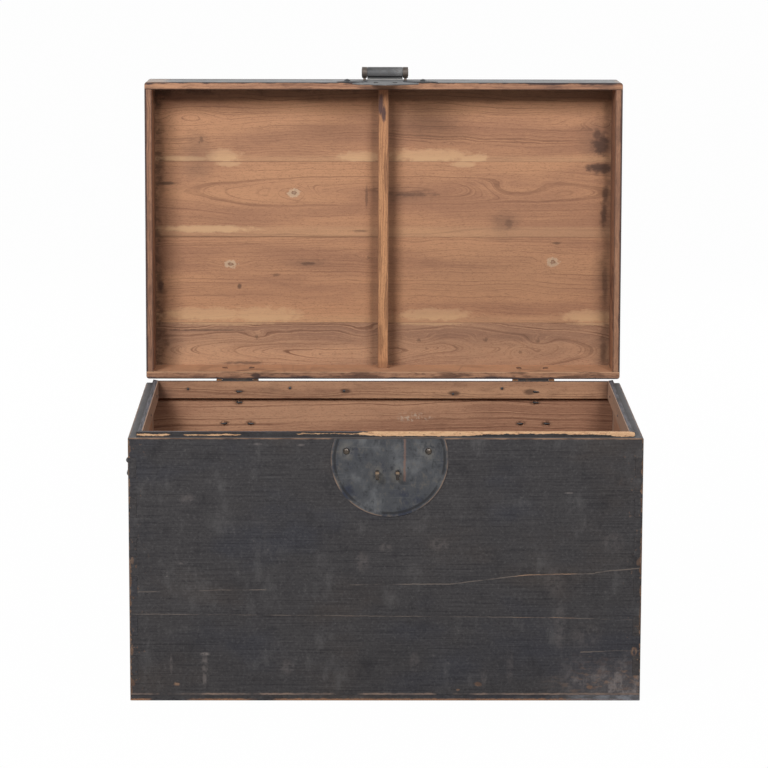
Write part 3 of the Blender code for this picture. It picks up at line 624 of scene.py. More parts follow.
def front_marks(x, z, place, nibble, worn):
    """Rubbed-through wood, pale scuffs and dull cracks of the front."""
    shake = (cloud(place, (60.0, 1.0, 1.0), 3.0, 2.0) - 0.5) * 0.0022
    broken = cloud(place, (16.0, 1.0, 40.0), 5.0, 3.0, 0.65)
    lines = None
    for points, width in front_cracks:
        one = crack(x, z, shake, points, width)
        lines = one if lines is None else most(lines, one)
    lines = lines * soft(broken, 0.36, 0.58)
    worn = most(worn, lines * most(span(x, 0.235, 0.315, 0.02) * 0.8, soft(broken, 0.58, 0.70) * 0.25))
    worn = most(worn, all_spots(x, z, nibble, front_nicks, 1.6) * 0.8)
    worn = worn * (1.0 - all_spots(x, z, nibble, front_hollows, 1.0) * 0.9)
    foot = soft(abs(z - 0.0118 + (nibble - 0.5) * 0.003), 0.0022, 0.0008)
    dragged = foot * soft(cloud(place, (16.0, 1.0, 1.0), 4.0, 4.0), 0.36, 0.56)
    worn = most(worn, dragged * 0.45)
    streaks = soft(cloud(place, (70.0, 1.0, 40.0), 5.0, 6.0, 0.68), 0.45, 0.68)
    scuffs = all_spots(x, z, nibble, front_scuffs, 1.5) * soft(nibble, 0.34, 0.62) * 0.8
    far = soft(x + (broken - 0.5) * 0.10, 0.260, 0.400) * soft(z + (nibble - 0.5) * 0.05, 0.096, 0.024)
    flakes = soft(cloud(place, (60.0, 90.0, 170.0), 4.0, 12.0, 0.65), 0.50, 0.62)
    worn = most(worn, far * flakes * (1.0 - streaks) * 0.5)
    low_line = soft(abs(z - 0.0165 + (nibble - 0.5) * 0.004), 0.0040, 0.0010) * soft(x, 0.240, 0.400)
    smear = most(far * (0.14 + streaks * 0.50), most(low_line * streaks * 0.8, dragged * 0.45))
    return worn, most(scuffs, smear), lines


for index, side in enumerate(sides):
    boards = [side + "_board_upper", side + "_board_lower"]
    dress(boards, box_board("lacquer_" + side, side, index * 2.0))

# %% [markdown]
# ## Bottom planks
# Only the edge of the bottom shows, a dark band under the walls whose lower arris is rubbed brown
# where the trunk was dragged, and whose front is scraped pale grey towards the right. Inside, the
# planks are bare, and so is the underside.

# %% Bottom
def bottom_finish(name, seed):
    """Dark edge with a rubbed foot, bare above and below."""
    material, surface, place = start_finish(name)
    x, y, z = split(place)
    colour, roughness, height = lacquer(place, seed)
    nibble = cloud(place, (90.0, 90.0, 200.0), 4.0, seed + 1.0)
    foot = soft(z + (nibble - 0.5) * 0.006, 0.0046, 0.0018)
    worn = foot * soft(cloud(place, (9.0, 9.0, 1.0), 3.0, seed + 2.0), 0.36, 0.52)
    scraped = soft(x + (nibble - 0.5) * 0.10, 0.260, 0.390) * soft(half_deep + y, 0.020, 0.004)
    streaks = soft(cloud(place, (46.0, 1.0, 120.0), 4.0, seed + 4.0, 0.66), 0.40, 0.62)
    colour = blend(worn * (1.0 - scraped * 0.7) * 0.85, colour, shade(146, 108, 82))
    colour = blend(scraped * (0.30 + streaks * 0.55), colour, shade(120, 121, 126))
    board = join(x, z, y)
    masks = timber(board, ring_distance(board, (0.2, 0.03), 0.16, seed + 3.0), 0.006, seed + 3.0)
    wood = bare_colour(masks, tan_light, tan_dark, tan_line)
    inner = soft(least(half_wide - abs(x), half_deep - abs(y)), 0.0004, 0.0012)
    colour = blend(inner, colour, wood)
    roughness = roughness * (1.0 - inner) + inner * 0.75
    height = height * (1.0 - inner) + masks[1] * inner * 0.6
    apply_finish(surface, colour, roughness, height, 0.0004, lacquer_gleam)
    return material


dress(["bottom_plank_front", "bottom_plank_middle", "bottom_plank_back"], bottom_finish("bottom_wood", 9.0))

# %% [markdown]
# ## Lip strips
# The strips inside the rim were lacquered on top and outside and left bare within. Years of packing
# have torn the lacquer off the front one in long stretches, down to fresh pale wood. One ramp along
# the strip holds two numbers in its colour, the lower and the upper limit of the torn band as a share
# of the strip's height. A colour ends at 1 and the band may reach past the strip, so both numbers are
# divided by the tallest reach and multiplied again. Noise drawn out along the grain breaks the edges.

# %% The strips
strip_low, strip_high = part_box("lip_strip_front")
strip_deep = strip_high.y - strip_low.y
torn_limits = (
    (0.000, 0.13, 0.63), (0.076, 0.13, 0.63), (0.086, 0.50, 0.40), (0.104, 0.50, 0.40), (0.112, 0.17, 0.60),
    (0.212, 0.20, 0.60), (0.226, 0.62, 0.50), (0.318, 0.62, 0.50), (0.330, 0.57, 0.80), (0.425, 0.55, 0.80),
    (0.440, 0.45, 0.75), (0.459, 0.25, 1.00), (0.480, 0.10, 1.20), (0.668, 0.14, 1.20), (0.692, 0.52, 1.20),
    (0.835, 0.66, 1.20), (0.850, 0.52, 1.20), (0.930, 0.40, 1.20), (0.950, 0.00, 1.25), (0.982, 0.00, 1.25),
    (0.988, 0.60, 0.50),
)
back_tacks = ((-0.3615, 0.4529), (-0.1727, 0.4549), (-0.0727, 0.4494), (0.1292, 0.4439), (0.2199, 0.4544))
back_tack_stains = (
    (-0.3615, 0.4529, 0.0060, 0.0040, 0.5), (-0.1727, 0.4549, 0.0050, 0.0040, 0.6),
    (-0.0700, 0.4494, 0.0110, 0.0046, 1.0), (0.1310, 0.4450, 0.0120, 0.0050, 1.0),
    (0.2199, 0.4544, 0.0050, 0.0036, 0.7), (-0.2660, 0.4490, 0.0100, 0.0036, 0.9),
    (0.2720, 0.4480, 0.0110, 0.0056, 0.9),
)


tallest_reach = 1.25


def torn_band(x, z, nibble):
    """Where the front strip's outer face is torn to the raw wood."""
    run = (x + half_wide) / (2.0 * half_wide)
    stops = []
    for at, low, high in torn_limits:
        stops.append((at, (low / tallest_reach, high / tallest_reach, 0.0, 1.0)))
    limits = run.node("ShaderNodeValToRGB", {"stops": stops}, {0: run})
    low = limits.node("ShaderNodeSeparateColor", {}, {0: limits}, 0) * tallest_reach
    high = limits.node("ShaderNodeSeparateColor", {}, {0: limits}, 1) * tallest_reach
    share = (z - rim_height) / (strip_high.z - rim_height) + (nibble - 0.5) * 0.80
    return soft(share - low, 0.0, 0.10) * soft(share - high, 0.0, -0.10)


def strip_finish(name, side, seed):
    """Lacquer above and outside, bare within; the front one is torn to the raw wood."""
    material, surface, place = start_finish(name)
    x, y, z = split(place)
    board, deep, end = wall_axes(place, side)
    deep = deep - wall_deep
    colour, roughness, height = lacquer(board, seed)
    top = soft(z, strip_high.z - 0.0030, strip_high.z - 0.0008)
    nibble = cloud(board, (90.0, 160.0, 420.0), 5.0, seed + 1.0, 0.66)
    streak = soft(cloud(board, (18.0, 420.0, 60.0), 4.0, seed + 5.0, 0.62), 0.38, 0.62)
    # Painted grey sheen on the top of the strip, broken into streaks.
    colour = blend(top * soft(deep, 0.001, 0.004) * streak * 0.65, colour, shade(116, 116, 124))
    inner = soft(deep + (nibble - 0.5) * 0.003, strip_deep - 0.0018, strip_deep - 0.0004)
    masks = timber(board, ring_distance(board, (0.0, 0.62), 0.06, seed + 2.0), 0.0040, seed + 2.0)
    wood = bare_colour(masks, shade(194, 150, 118), shade(160, 120, 96), shade(108, 74, 58))
    haze = cloud(board, (14.0, 20.0, 40.0), 4.0, seed + 3.0)
    # Darker towards the ends of the strip: painted shade in the corners, mixed with soil and haze.
    corner_shade_and_soil = most(soft(haze, 0.50, 0.74) * 0.5, soft(end - wall_deep + (haze - 0.5) * 0.05, 0.046, 0.006))
    if side in ("left", "right"):
        # Side strips are painted lighter and greyer: painted light, with some dust.
        wood = blend(0.50 + corner_shade_and_soil * 0.2, wood, pale_dust_and_painted_light)
        corner_shade_and_soil = corner_shade_and_soil * 0.4
    wood = blend(corner_shade_and_soil * 0.65, wood, shade(80, 60, 52))
    if side == "back":
        bled = all_spots(x, z, haze, back_tack_stains, 1.2, 0.8)
        wood = blend(bled * 0.75, wood, shade(64, 48, 44))
    colour = blend(inner, colour, wood)
    torn = soft(nibble, 0.72, 0.76) * (1.0 - inner) * 0.7
    if side == "front":
        torn = torn_band(x, z, nibble) * (1.0 - inner)
    crumbs = cloud(board, (120.0, 160.0, 260.0), 4.0, seed + 4.0, 0.65)
    fresh = blend(soft(masks[1], 0.35, 0.7), shade(226, 186, 146), shade(198, 152, 116))
    fresh = blend(soft(crumbs, 0.54, 0.68) * 0.7, fresh, shade(140, 100, 78))
    colour = blend(torn * (1.0 - soft(crumbs, 0.62, 0.72) * 0.8), colour, fresh)
    roughness = roughness * (1.0 - inner) + inner * 0.7 + torn * 0.2
    height = height * 0.6 + masks[1] * 0.4 - torn * 1.2
    apply_finish(surface, colour, roughness, height, 0.0005, lacquer_gleam)
    return material


for index, side in enumerate(sides):
    dress(["lip_strip_" + side], strip_finish("strip_" + side, side, 30.0 + index * 4.0))

# %% [markdown]
# ## The lid
# The lid was drawn shut and stands open here, so its own depth and height are turned through the
# angle of the hinge. A Mapping node turns them back, which keeps each mask as simple as on the box.

# %% The lid's own axes
def joint_named(name):
    """The frame's entry for a joint."""
    return next(joint for joint in frame["joints"] if joint["name"] == name)


hinge = joint_named("lid_hinge")
hinge_point = Vector(hinge["pos_m"])
open_angle = math.radians(hinge["range_deg"][1])
shut_turn = Matrix.Rotation(open_angle, 3, "X")
shut_shift = hinge_point - shut_turn @ hinge_point


def shut_place(place):
    """Where a point of the open lid lies when the lid is shut."""
    values = {"Vector": place, "Location": shut_shift, "Rotation": (open_angle, 0.0, 0.0)}
    return place.node("ShaderNodeMapping", {}, values)


print("lid turns back", round(math.degrees(open_angle), 1), "degrees about", tuple(hinge_point))

# %% [markdown]
# The skirt shows its bare rim and inside to the camera and only a sliver of lacquered outside. Hands
# have polished that lacquer, so a low roughness lets the sliver mirror the pale room at a grazing
# look while the sides stay black. The rim is greasy and mottled, with dirt along both its arrises.
# Painted shade darkens the inside of the side skirts and the depth of the lid, and the upturned
# inner face of the back skirt is painted lighter, with a painted highlight along its arris.

# %% Skirt boards
hinge_scores = (
    (-0.262, 0.0160, 0.0140, 0.0060, 0.8),
    (-0.214, 0.0120, 0.0150, 0.0060, 0.8),
    (-0.240, 0.0360, 0.0260, 0.0080, 0.6),
    (0.300, 0.0160, 0.0200, 0.0060, 0.7),
    (0.262, 0.0320, 0.0140, 0.0060, 0.5),
)


def skirt_finish(name, side, seed):
    """Bare wood with a lacquered outer skin, a soiled, mottled rim, and painted shade and light inside."""
    material, surface, place = start_finish(name)
    lid_place = shut_place(place)
    x, y, z = split(lid_place)
    wall, deep, end = wall_axes(lid_place, side)
    board = join(split(wall)[0], z, split(wall)[1])
    nibble = cloud(board, (60.0, 120.0, 300.0), 4.0, seed, 0.6)
    patchy = cloud(board, (14.0, 30.0, 60.0), 4.0, seed + 1.0)
    masks = timber(board, ring_distance(board, (0.0, 0.40), 0.05, seed + 2.0), 0.0034, seed + 2.0)
    wood = bare_colour(masks, shade(190, 142, 110), shade(156, 114, 90), shade(96, 64, 52), 0.60)
    wood = blend(soft(patchy, 0.52, 0.70) * 0.60, wood, shade(88, 62, 52))
    rim = soft(z - rim_height, 0.0024, 0.0010)
    soiled = soft(deep + (nibble - 0.5) * 0.006 + (patchy - 0.5) * 0.016, 0.0040, 0.0010)
    if side in ("left", "right"):
        soiled = most(soiled, soft(deep + (nibble - 0.5) * 0.003, 0.0044, 0.0020))
    wood = blend(most(soiled, rim * soft(patchy, 0.50, 0.30) * 0.50) * 0.90, wood, shade(46, 40, 46))
    # A line along the inner arris of the rim: dark dirt on most skirts, a painted highlight on the back one.
    inner_grime_and_highlight = soft(abs(deep - wall_deep + 0.0012 + (nibble - 0.5) * 0.001), 0.0014, 0.0004)
    wood = blend(inner_grime_and_highlight * rim * 0.75, wood, shade(214, 172, 136) if side == "back" else shade(60, 42, 36))
    # Side skirts are darker: painted shade on inner faces that turn away from the lamps.
    if side in ("left", "right"):
        wood = blend(soft(nibble, 0.15, 0.60) * 0.42, wood, shade(92, 66, 56))
    if side == "back":
        # The upturned inner face of the back skirt is painted lighter: painted light where the lamps fall on
        # it.
        wood = blend((1.0 - rim) * 0.50, wood, shade(222, 172, 136))
        wood = blend(rim * soft(patchy, 0.46, 0.62) * 0.55, wood, shade(78, 56, 49))
        wood = blend(rim * soft(nibble, 0.54, 0.70) * 0.60, wood, shade(62, 46, 42))
        bruise = all_spots(x, deep, nibble, ((-0.236, 0.0070, 0.0100, 0.0050),), 1.2) * rim
        scores = all_spots(x, z - rim_height, nibble, hinge_scores, 1.6) * (1.0 - rim)
        wood = blend(most(bruise, scores) * 0.8, wood, shade(58, 46, 44))
    else:
        # Darker deeper inside the skirt, away from the rim: painted shade in the recess of the lid.
        recess_shade = soft(z - rim_height + (patchy - 0.5) * 0.06, 0.020, 0.090)
        wood = blend(recess_shade * (1.0 - rim) * 0.45, wood, shade(84, 58, 46))
    paint, gloss, height = lacquer(wall, seed + 3.0)
    outer = soft(deep + (nibble - 0.5) * 0.0012, 0.0011, 0.0004)
    outer = most(outer, soft(end, 0.0008, 0.0003))
    rubbed = soft(end + (patchy - 0.5) * 0.05, 0.016, 0.004) * soft(patchy, 0.40, 0.55)
    if side == "front":
        rubbed = most(rubbed, soft(x + (patchy - 0.5) * 0.03, -0.394, -0.408))
    paint = blend(rubbed * 0.8, paint, rubbed_light)
    colour = blend(outer, wood, paint)
    roughness = outer * gloss * 0.60 + (1.0 - outer) * 0.68
    height = height * outer + masks[1] * 0.6 * (1.0 - outer)
    apply_finish(surface, colour, roughness, height, 0.0004, wood_gleam)
    return material


for index, side in enumerate(sides):
    dress(["lid_skirt_" + side], skirt_finish("skirt_" + side, side, 50.0 + index * 4.0))

# %% [markdown]
# The batten across the panel is a straight-grained stick, paler than the planks, with a purple-black
# stain near its upper end, darker wood where it meets the skirt and painted shade along its sides.
# Its grain runs upright.

# %% The batten
batten_low, batten_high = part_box("lid_batten")


def batten_finish(name, seed):
    """Bare straight-grained batten with a dark stain near its upper end."""
    material, surface, place = start_finish(name)
    x, y, z = split(place)
    board = join(z, y, x)
    masks = timber(board, ring_distance(board, (0.0, 0.30), 0.03, seed), 0.0036, seed)
    wood = bare_colour(masks, shade(204, 150, 108), shade(164, 116, 84), shade(108, 70, 52), 0.80)
    fine = cloud(place, (130.0, 130.0, 60.0), 4.0, seed + 6.0)
    top, foot = batten_high.z, batten_low.z
    stain_marks = ((-0.0050, top - 0.030, 0.0056, 0.020), (0.0005, top - 0.046, 0.0048, 0.018))
    stain = all_spots(x, z, fine, stain_marks, 1.0)
    soil_marks = (
        (0.0, top, 0.020, 0.012), (0.0, foot, 0.020, 0.016), (0.006, 0.60, 0.004, 0.050),
        (-0.004, 0.53, 0.006, 0.030), (0.004, 0.84, 0.004, 0.040), (-0.006, 0.70, 0.003, 0.060),
    )
    wood = blend(all_spots(x, z, fine, soil_marks, 1.3) * 0.40, wood, shade(96, 64, 48))
    wood = blend(stain * 0.85, wood, shade(70, 54, 60))
    # Darker towards both edges: painted shade on the side faces of the batten.
    sides = soft(abs(x) + (fine - 0.5) * 0.004, 0.0070, 0.0090)
    wood = blend(sides * 0.50, wood, shade(110, 76, 58))
    apply_finish(surface, wood, 0.70 - stain * 0.1, masks[1] * 0.6, 0.0004, wood_gleam)
    return material


dress(["lid_batten"], batten_finish("batten_wood", 70.0))

# %% [markdown]
# Each plank of the panel came from its own log, so each gets its own heart and lean and with them
# its own arches, and a knot bends the rings round itself. Glue squeezed out of the seams has dried
# pale, painted shadow darkens the panel under the skirt and beside the batten, with some dirt along
# the skirt, and a few dark stains tell the planks apart.

# %% Histories of the four planks
plank_heart = {
    1: ((0.300, 1.100), 0.060, 0.46, 0.050),
    2: ((0.030, 0.803), 0.075, 0.38, 0.036),
    3: ((0.060, 0.540), 0.050, 0.36, 0.046),
    4: ((-0.070, 0.500), 0.100, 0.66, 0.062),
}
plank_knots = {
    1: ((-0.3440, 0.8960, 0.0034, 0.0040, 2.4, 0.4), (0.1270, 0.8950, 0.0022, 0.0022, 2.0, 0.4),
        (0.4100, 0.9440, 0.0160, 0.0110, 3.0, 0.0), (-0.3600, 0.9450, 0.0120, 0.0070, 2.6, 0.0)),
    2: ((-0.1670, 0.8009, 0.0080, 0.0060, 3.4, 1.0), (0.2400, 0.8090, 0.0150, 0.0070, 3.6, 0.0)),
    3: ((-0.2855, 0.6671, 0.0090, 0.0050, 2.6, 1.0), (0.3198, 0.6716, 0.0080, 0.0062, 3.0, 1.0),
        (-0.0262, 0.6787, 0.0060, 0.0040, 2.6, 0.6)),
    4: ((-0.2371, 0.5290, 0.0052, 0.0044, 4.0, 0.7), (0.0683, 0.5236, 0.0052, 0.0048, 4.0, 0.7),
        (0.1947, 0.5237, 0.0056, 0.0044, 4.0, 0.7), (0.2928, 0.5219, 0.0052, 0.0044, 4.0, 0.7),
        (0.2590, 0.5010, 0.0044, 0.0040, 3.6, 0.7), (-0.0300, 0.5330, 0.0070, 0.0060, 4.4, 0.0)),
}
plank_glue = {
    1: ((-0.2980, 0.8700, 0.0330, 0.0140), (-0.0450, 0.8690, 0.0440, 0.0110),
        (0.0900, 0.8720, 0.0850, 0.0130), (0.1700, 0.8660, 0.0300, 0.0090),
        (-0.3800, 0.8650, 0.0500, 0.0050)),
    2: ((-0.2900, 0.8550, 0.0260, 0.0060), (-0.3300, 0.7330, 0.0900, 0.0070),
        (0.1500, 0.8550, 0.0240, 0.0060)),
    3: ((-0.3300, 0.5730, 0.0950, 0.0130), (-0.2200, 0.5720, 0.0700, 0.0150),
        (0.0960, 0.5720, 0.0720, 0.0120), (0.3900, 0.5700, 0.0560, 0.0120)),
    4: ((0.0900, 0.5560, 0.0700, 0.0050), (0.3900, 0.5560, 0.0450, 0.0050),
        (-0.3000, 0.5560, 0.1000, 0.0050)),
}
plank_stains = {
    1: ((0.4080, 0.8920, 0.0160, 0.0200, 0.9), (0.4000, 0.9080, 0.0080, 0.0120, 0.7),
        (-0.3400, 0.9000, 0.0040, 0.0060, 0.5)),
    2: ((0.4060, 0.8480, 0.0250, 0.0110, 1.0), (0.4170, 0.8000, 0.0060, 0.0160, 0.7),
        (0.4150, 0.7600, 0.0060, 0.0200, 0.8), (0.2360, 0.7440, 0.0080, 0.0090, 0.4),
        (0.0560, 0.7980, 0.0420, 0.0040, 0.5), (-0.4050, 0.8190, 0.0220, 0.0030, 0.8),
        (-0.0310, 0.7960, 0.0025, 0.0200, 0.5), (-0.0420, 0.7300, 0.0200, 0.0024, 0.6)),
    3: ((-0.1400, 0.6680, 0.0140, 0.0030, 0.6), (-0.2010, 0.6464, 0.0070, 0.0030, 0.6),
        (-0.2700, 0.6255, 0.0040, 0.0050, 0.8), (0.3251, 0.7075, 0.0090, 0.0020, 0.7),
        (-0.4180, 0.6270, 0.0060, 0.0120, 0.9), (0.4180, 0.6300, 0.0050, 0.0350, 0.5)),
    4: ((-0.2600, 0.4800, 0.0360, 0.0030, 0.7), (-0.3300, 0.5420, 0.0800, 0.0016, 0.7),
        (0.4160, 0.5050, 0.0060, 0.0240, 0.5)),
}
plank_smoke = {
    1: ((0.0700, 0.9350, 0.0700, 0.0340, 0.5), (-0.3500, 0.8850, 0.0340, 0.0320, 0.7),
        (0.4000, 0.9000, 0.0300, 0.0400, 0.6), (-0.2000, 0.9100, 0.1800, 0.0400, 0.20)),
    2: ((0.0300, 0.7980, 0.0600, 0.0140, 0.7), (0.2280, 0.7460, 0.0260, 0.0200, 0.7),
        (-0.3500, 0.8450, 0.0300, 0.0200, 0.6)),
    3: ((-0.1400, 0.6680, 0.0360, 0.0080, 0.6), (0.2100, 0.7200, 0.0400, 0.0100, 0.5),
        (0.4100, 0.6400, 0.0200, 0.0600, 0.5), (0.2200, 0.6400, 0.2000, 0.0600, 0.30)),
    4: ((-0.4050, 0.5100, 0.0240, 0.0300, 0.6), (0.4100, 0.5050, 0.0240, 0.0300, 0.6),
        (0.2600, 0.5300, 0.0800, 0.0120, 0.5), (0.2200, 0.5050, 0.2200, 0.0400, 0.35)),
}
plank_seams = {1: (0.16, 0.0), 2: (0.36, 0.05), 3: (0.0, 0.30), 4: (0.0, 0.0)}
glue_line = {1: (0.8760, 0.8640), 2: (0.7420, 0.7340), 3: (0.5760, 0.5640), 4: (0.4700, 0.4690)}
grey_light, grey_dark, seam_brown = shade(194, 152, 120), shade(156, 119, 97), shade(92, 60, 44)
panel_rise, coat_fade = 0.1010, 0.0006
print("knots", sum(len(knots) for knots in plank_knots.values()), "in the panel")

# %% Planks of the lid
def knotted_rings(x, z, rings, knots):
    """Rings pushed aside by the knots, and the distance from the nearest eye and the nearest full eye."""
    eyes = full_eyes = rings + 9.0
    for knot_x, knot_z, half_x, half_z, pull, strength in knots:
        far_x = (x - knot_x) / half_x
        far_z = (z - knot_z) / half_z
        reach = (far_x * far_x * 0.20 + far_z * far_z) ** 0.5
        rings = rings + soft(reach, pull, 0.0) * half_z * 2.3
        if strength:
            eye = (far_x * far_x + far_z * far_z) ** 0.5 + (1.0 - strength) * 0.5
            eyes = least(eyes, eye)
            if strength == 1.0:
                full_eyes = least(full_eyes, eye)
    return rings, eyes, full_eyes


def plank_finish(index):
    """Bare inside with its own arches, knots, glue and stains; lacquered outside."""
    seed = 80.0 + index * 5.0
    name = "lid_plank_" + str(index)
    material, surface, place = start_finish("panel_plank_" + str(index))
    x, y, z = split(place)
    lid_place = shut_place(place)
    lid_y, lid_z = split(lid_place)[1:]
    heart, lean, strength, wave = plank_heart[index]
    rings = ring_distance(place, heart, lean, seed, wave)
    rings, eyes, full_eyes = knotted_rings(x, z, rings, plank_knots[index])
    masks = timber(place, rings, 0.0034, seed)
    light, dark = (grey_light, grey_dark) if index == 4 else (tan_light, tan_dark)
    wood = bare_colour(masks, light, dark, tan_line, strength)
    fine = cloud(place, (70.0, 70.0, 110.0), 5.0, seed + 6.0, 0.66)
    broad = cloud(place, (16.0, 16.0, 24.0), 4.0, seed + 7.0)
    ragged = (cloud(place, (190.0, 190.0, 230.0), 4.0, seed + 10.0, 0.66) - 0.5) * 3.0
    wood = blend(soft(eyes + ragged, 1.20, 0.40) * 0.55, wood, shade(96, 72, 58))
    wood = blend(span(full_eyes + ragged, 0.70, 1.20, 0.35) * 0.55, wood, shade(212, 188, 160))
    wood = blend(soft(full_eyes + ragged * 0.5, 0.30, 0.10) * 0.50, wood, shade(188, 164, 140))
    glue = all_spots(x, z, fine, plank_glue[index], 1.7)
    wood = blend(glue * 0.55 + soft(z, *glue_line[index]) * 0.22, wood, shade(212, 172, 132))
    smoke = all_spots(x, z, fine, plank_smoke[index], 1.6, 1.4)
    wood = blend(smoke * 0.50, wood, shade(98, 76, 66))
    stain = all_spots(x, z, fine, plank_stains[index], 2.0, 0.9)
    wood = blend(stain * 0.80, wood, shade(60, 46, 44))
    edge = least(half_wide - abs(x), half_deep + lid_y) - wall_deep
    # Darker along the skirt and beside the batten: painted shadow of the skirt and the batten, with some
    # grime along the skirt.
    skirt_shade_and_grime = soft(edge + (broad - 0.5) * 0.030 + (fine - 0.5) * 0.020, 0.020, 0.006)
    blotch = soft(edge + (broad - 0.5) * 0.060, 0.020, 0.004) * soft(fine, 0.42, 0.58)
    skirt_shadow_band = soft(half_deep + lid_y - wall_deep + (broad - 0.5) * 0.016, 0.032, 0.020)
    batten_shadow_band = soft(abs(x) + (broad - 0.5) * 0.010, 0.026, 0.018)
    wood = blend(most(most(skirt_shade_and_grime * 0.38, skirt_shadow_band * 0.55), batten_shadow_band * 0.30), wood, shade(60, 38, 28))
    wood = blend(blotch * (soft(x, 0.1, -0.1) * 0.34 + 0.16), wood, shade(48, 30, 24))
    low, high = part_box(name)[0].z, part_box(name)[1].z
    low_seam, high_seam = plank_seams[index]
    wander = (cloud(place, (12.0, 1.0, 1.0), 3.0, seed + 8.0) - 0.5) * 0.007
    tight = soft(x + (broad - 0.5) * 0.2, 0.06, -0.06) * 0.8 + 0.2
    wood = blend(soft(z - low + wander, 0.0030, 0.0012) * low_seam * tight, wood, seam_brown)
    wood = blend(soft(high - z + wander, 0.0024, 0.0010) * high_seam * tight, wood, seam_brown)
    paint, gloss, height = lacquer(place, seed + 9.0)
    coat = rim_height + panel_rise
    outer = soft(lid_z, coat, coat + coat_fade)
    colour = blend(outer, wood, paint)
    roughness = outer * gloss + (1.0 - outer) * (0.70 - glue * 0.1)
    height = height * outer + (masks[1] * 0.6 + glue * 0.2) * (1.0 - outer)
    apply_finish(surface, colour, roughness, height, 0.0004, wood_gleam)
    return material


for index in (1, 2, 3, 4):
    dress(["lid_plank_" + str(index)], plank_finish(index))

# %% [markdown]
# ## Old metal
# The hasp, hinges and handles are dark sheet and bar metal under a dull skin, blue-grey where it was
# blackened and brown where it rusted, so most of it answers light like stone and only a share of it
# like metal. One recipe with different shades makes them a family.

# %% A metal recipe
def old_metal(name, base, light, dark, rust, seed, rough, metal, marks=None):
    """Patinated metal: clouds of bloom, rust flecks, fine scratches and perhaps marks of its own."""
    material, surface, place = start_finish(name)
    bloom = cloud(place, (30.0, 30.0, 34.0), 5.0, seed, 0.6)
    fleck = cloud(place, (190.0, 190.0, 190.0), 4.0, seed + 1.0)
    scratch = cloud(place, (30.0, 700.0, 700.0), 3.0, seed + 2.0)
    colour = layers(
        base,
        (bloom, 0.50, 0.72, 0.8, light), (bloom, 0.48, 0.28, 0.8, dark),
        (fleck, 0.56, 0.74, 0.5, rust), (scratch, 0.64, 0.76, 0.4, light),
    )
    if marks:
        colour = marks(place, fleck, colour)
    roughness = rough + soft(fleck, 0.4, 0.7) * 0.14 - soft(scratch, 0.6, 0.75) * 0.08
    apply_finish(surface, colour, roughness, fleck * 0.6 + bloom * 0.4, 0.0003, 0.4, metal)
    return material


iron = old_metal(
    "dark_iron", shade(66, 66, 68), shade(96, 97, 99), shade(42, 43, 46), shade(88, 68, 56),
    110.0, 0.50, 0.4)
dress(["handle_bail_left", "handle_bail_right", "hasp_pin", "hinge_pin_left", "hinge_pin_right",
       "lock_nail_upper_left", "lock_nail_upper_right"], iron)
dress(named("hinge_nail_box"), iron)
rusted = old_metal(
    "rusted_nail", shade(110, 80, 62), shade(140, 104, 80), shade(74, 55, 46), shade(124, 86, 62),
    146.0, 0.60, 0.1)
dress(named("hinge_nail_lid"), rusted)
hinge_dark = old_metal(
    "hinge_dark", shade(62, 58, 56), shade(104, 90, 76), shade(38, 36, 36), shade(134, 92, 62),
    116.0, 0.50, 0.4)
dress(["hinge_leaf_box_left", "hinge_leaf_box_right"], hinge_dark)
hinge_worn = old_metal(
    "hinge_worn", shade(110, 82, 62), shade(176, 124, 78), shade(66, 50, 42), shade(198, 138, 82),
    122.0, 0.42, 0.5)
dress(["hinge_leaf_lid_left", "hinge_leaf_lid_right"], hinge_worn)
eye_metal = old_metal(
    "eye_metal", shade(90, 82, 76), shade(128, 112, 98), shade(56, 52, 50), shade(110, 84, 66),
    128.0, 0.46, 0.4)
dress(named("hasp_eye") + named("handle_eye"), eye_metal)

# %% [markdown]
# The hasp hangs from its barrel over the two staples when the trunk is shut. Its neck is painted
# pale, a painted light on a neck that the barrel shades, and its two slots, which lie where the
# staples come through, are darkened as painted shade. Both are placed in the lid's own axes, the
# slots straight from the staples.

# %% The hasp
hasp_axis = shut_turn @ Vector(joint_named("hasp_hinge")["pos_m"]) + shut_shift
slot_wide, slot_tall = 0.0056, 0.0200
slot_places = [(*middle(name), slot_wide, slot_tall) for name in named("lock_staple")]
print("hasp axis when shut", tuple(round(part, 4) for part in hasp_axis))


def hasp_painted_light_and_shade(place, fleck, colour):
    """Painted light on the neck under the barrel and painted shade round the slots."""
    x, y, z = split(shut_place(place))
    # Painted light on the neck.
    painted_light_neck = span(z + (fleck - 0.5) * 0.001, hasp_axis.z - 0.026, hasp_axis.z - 0.0125, 0.001)
    colour = blend(painted_light_neck * 0.75, colour, shade(206, 204, 200))
    # Painted shade round the slots.
    return blend(all_spots(x, z, fleck, slot_places, 0.8) * 0.9, colour, shade(26, 24, 24))


hasp_metal = old_metal(
    "hasp_metal", shade(90, 90, 91), shade(124, 124, 124), shade(62, 62, 64), shade(104, 94, 84),
    134.0, 0.56, 0.2, hasp_painted_light_and_shade)
dress(["hasp"], hasp_metal)

# %% [markdown]
# The nail heads and the staples of the lock are brass under dark dirt, with a painted highlight on
# their upper parts: the crown of each staple and the top of each dome.

# %% Brass of the lock
lock_brass = named("lock_nail_lower") + named("lock_staple")
staple_z = middle("lock_staple_left")[1]


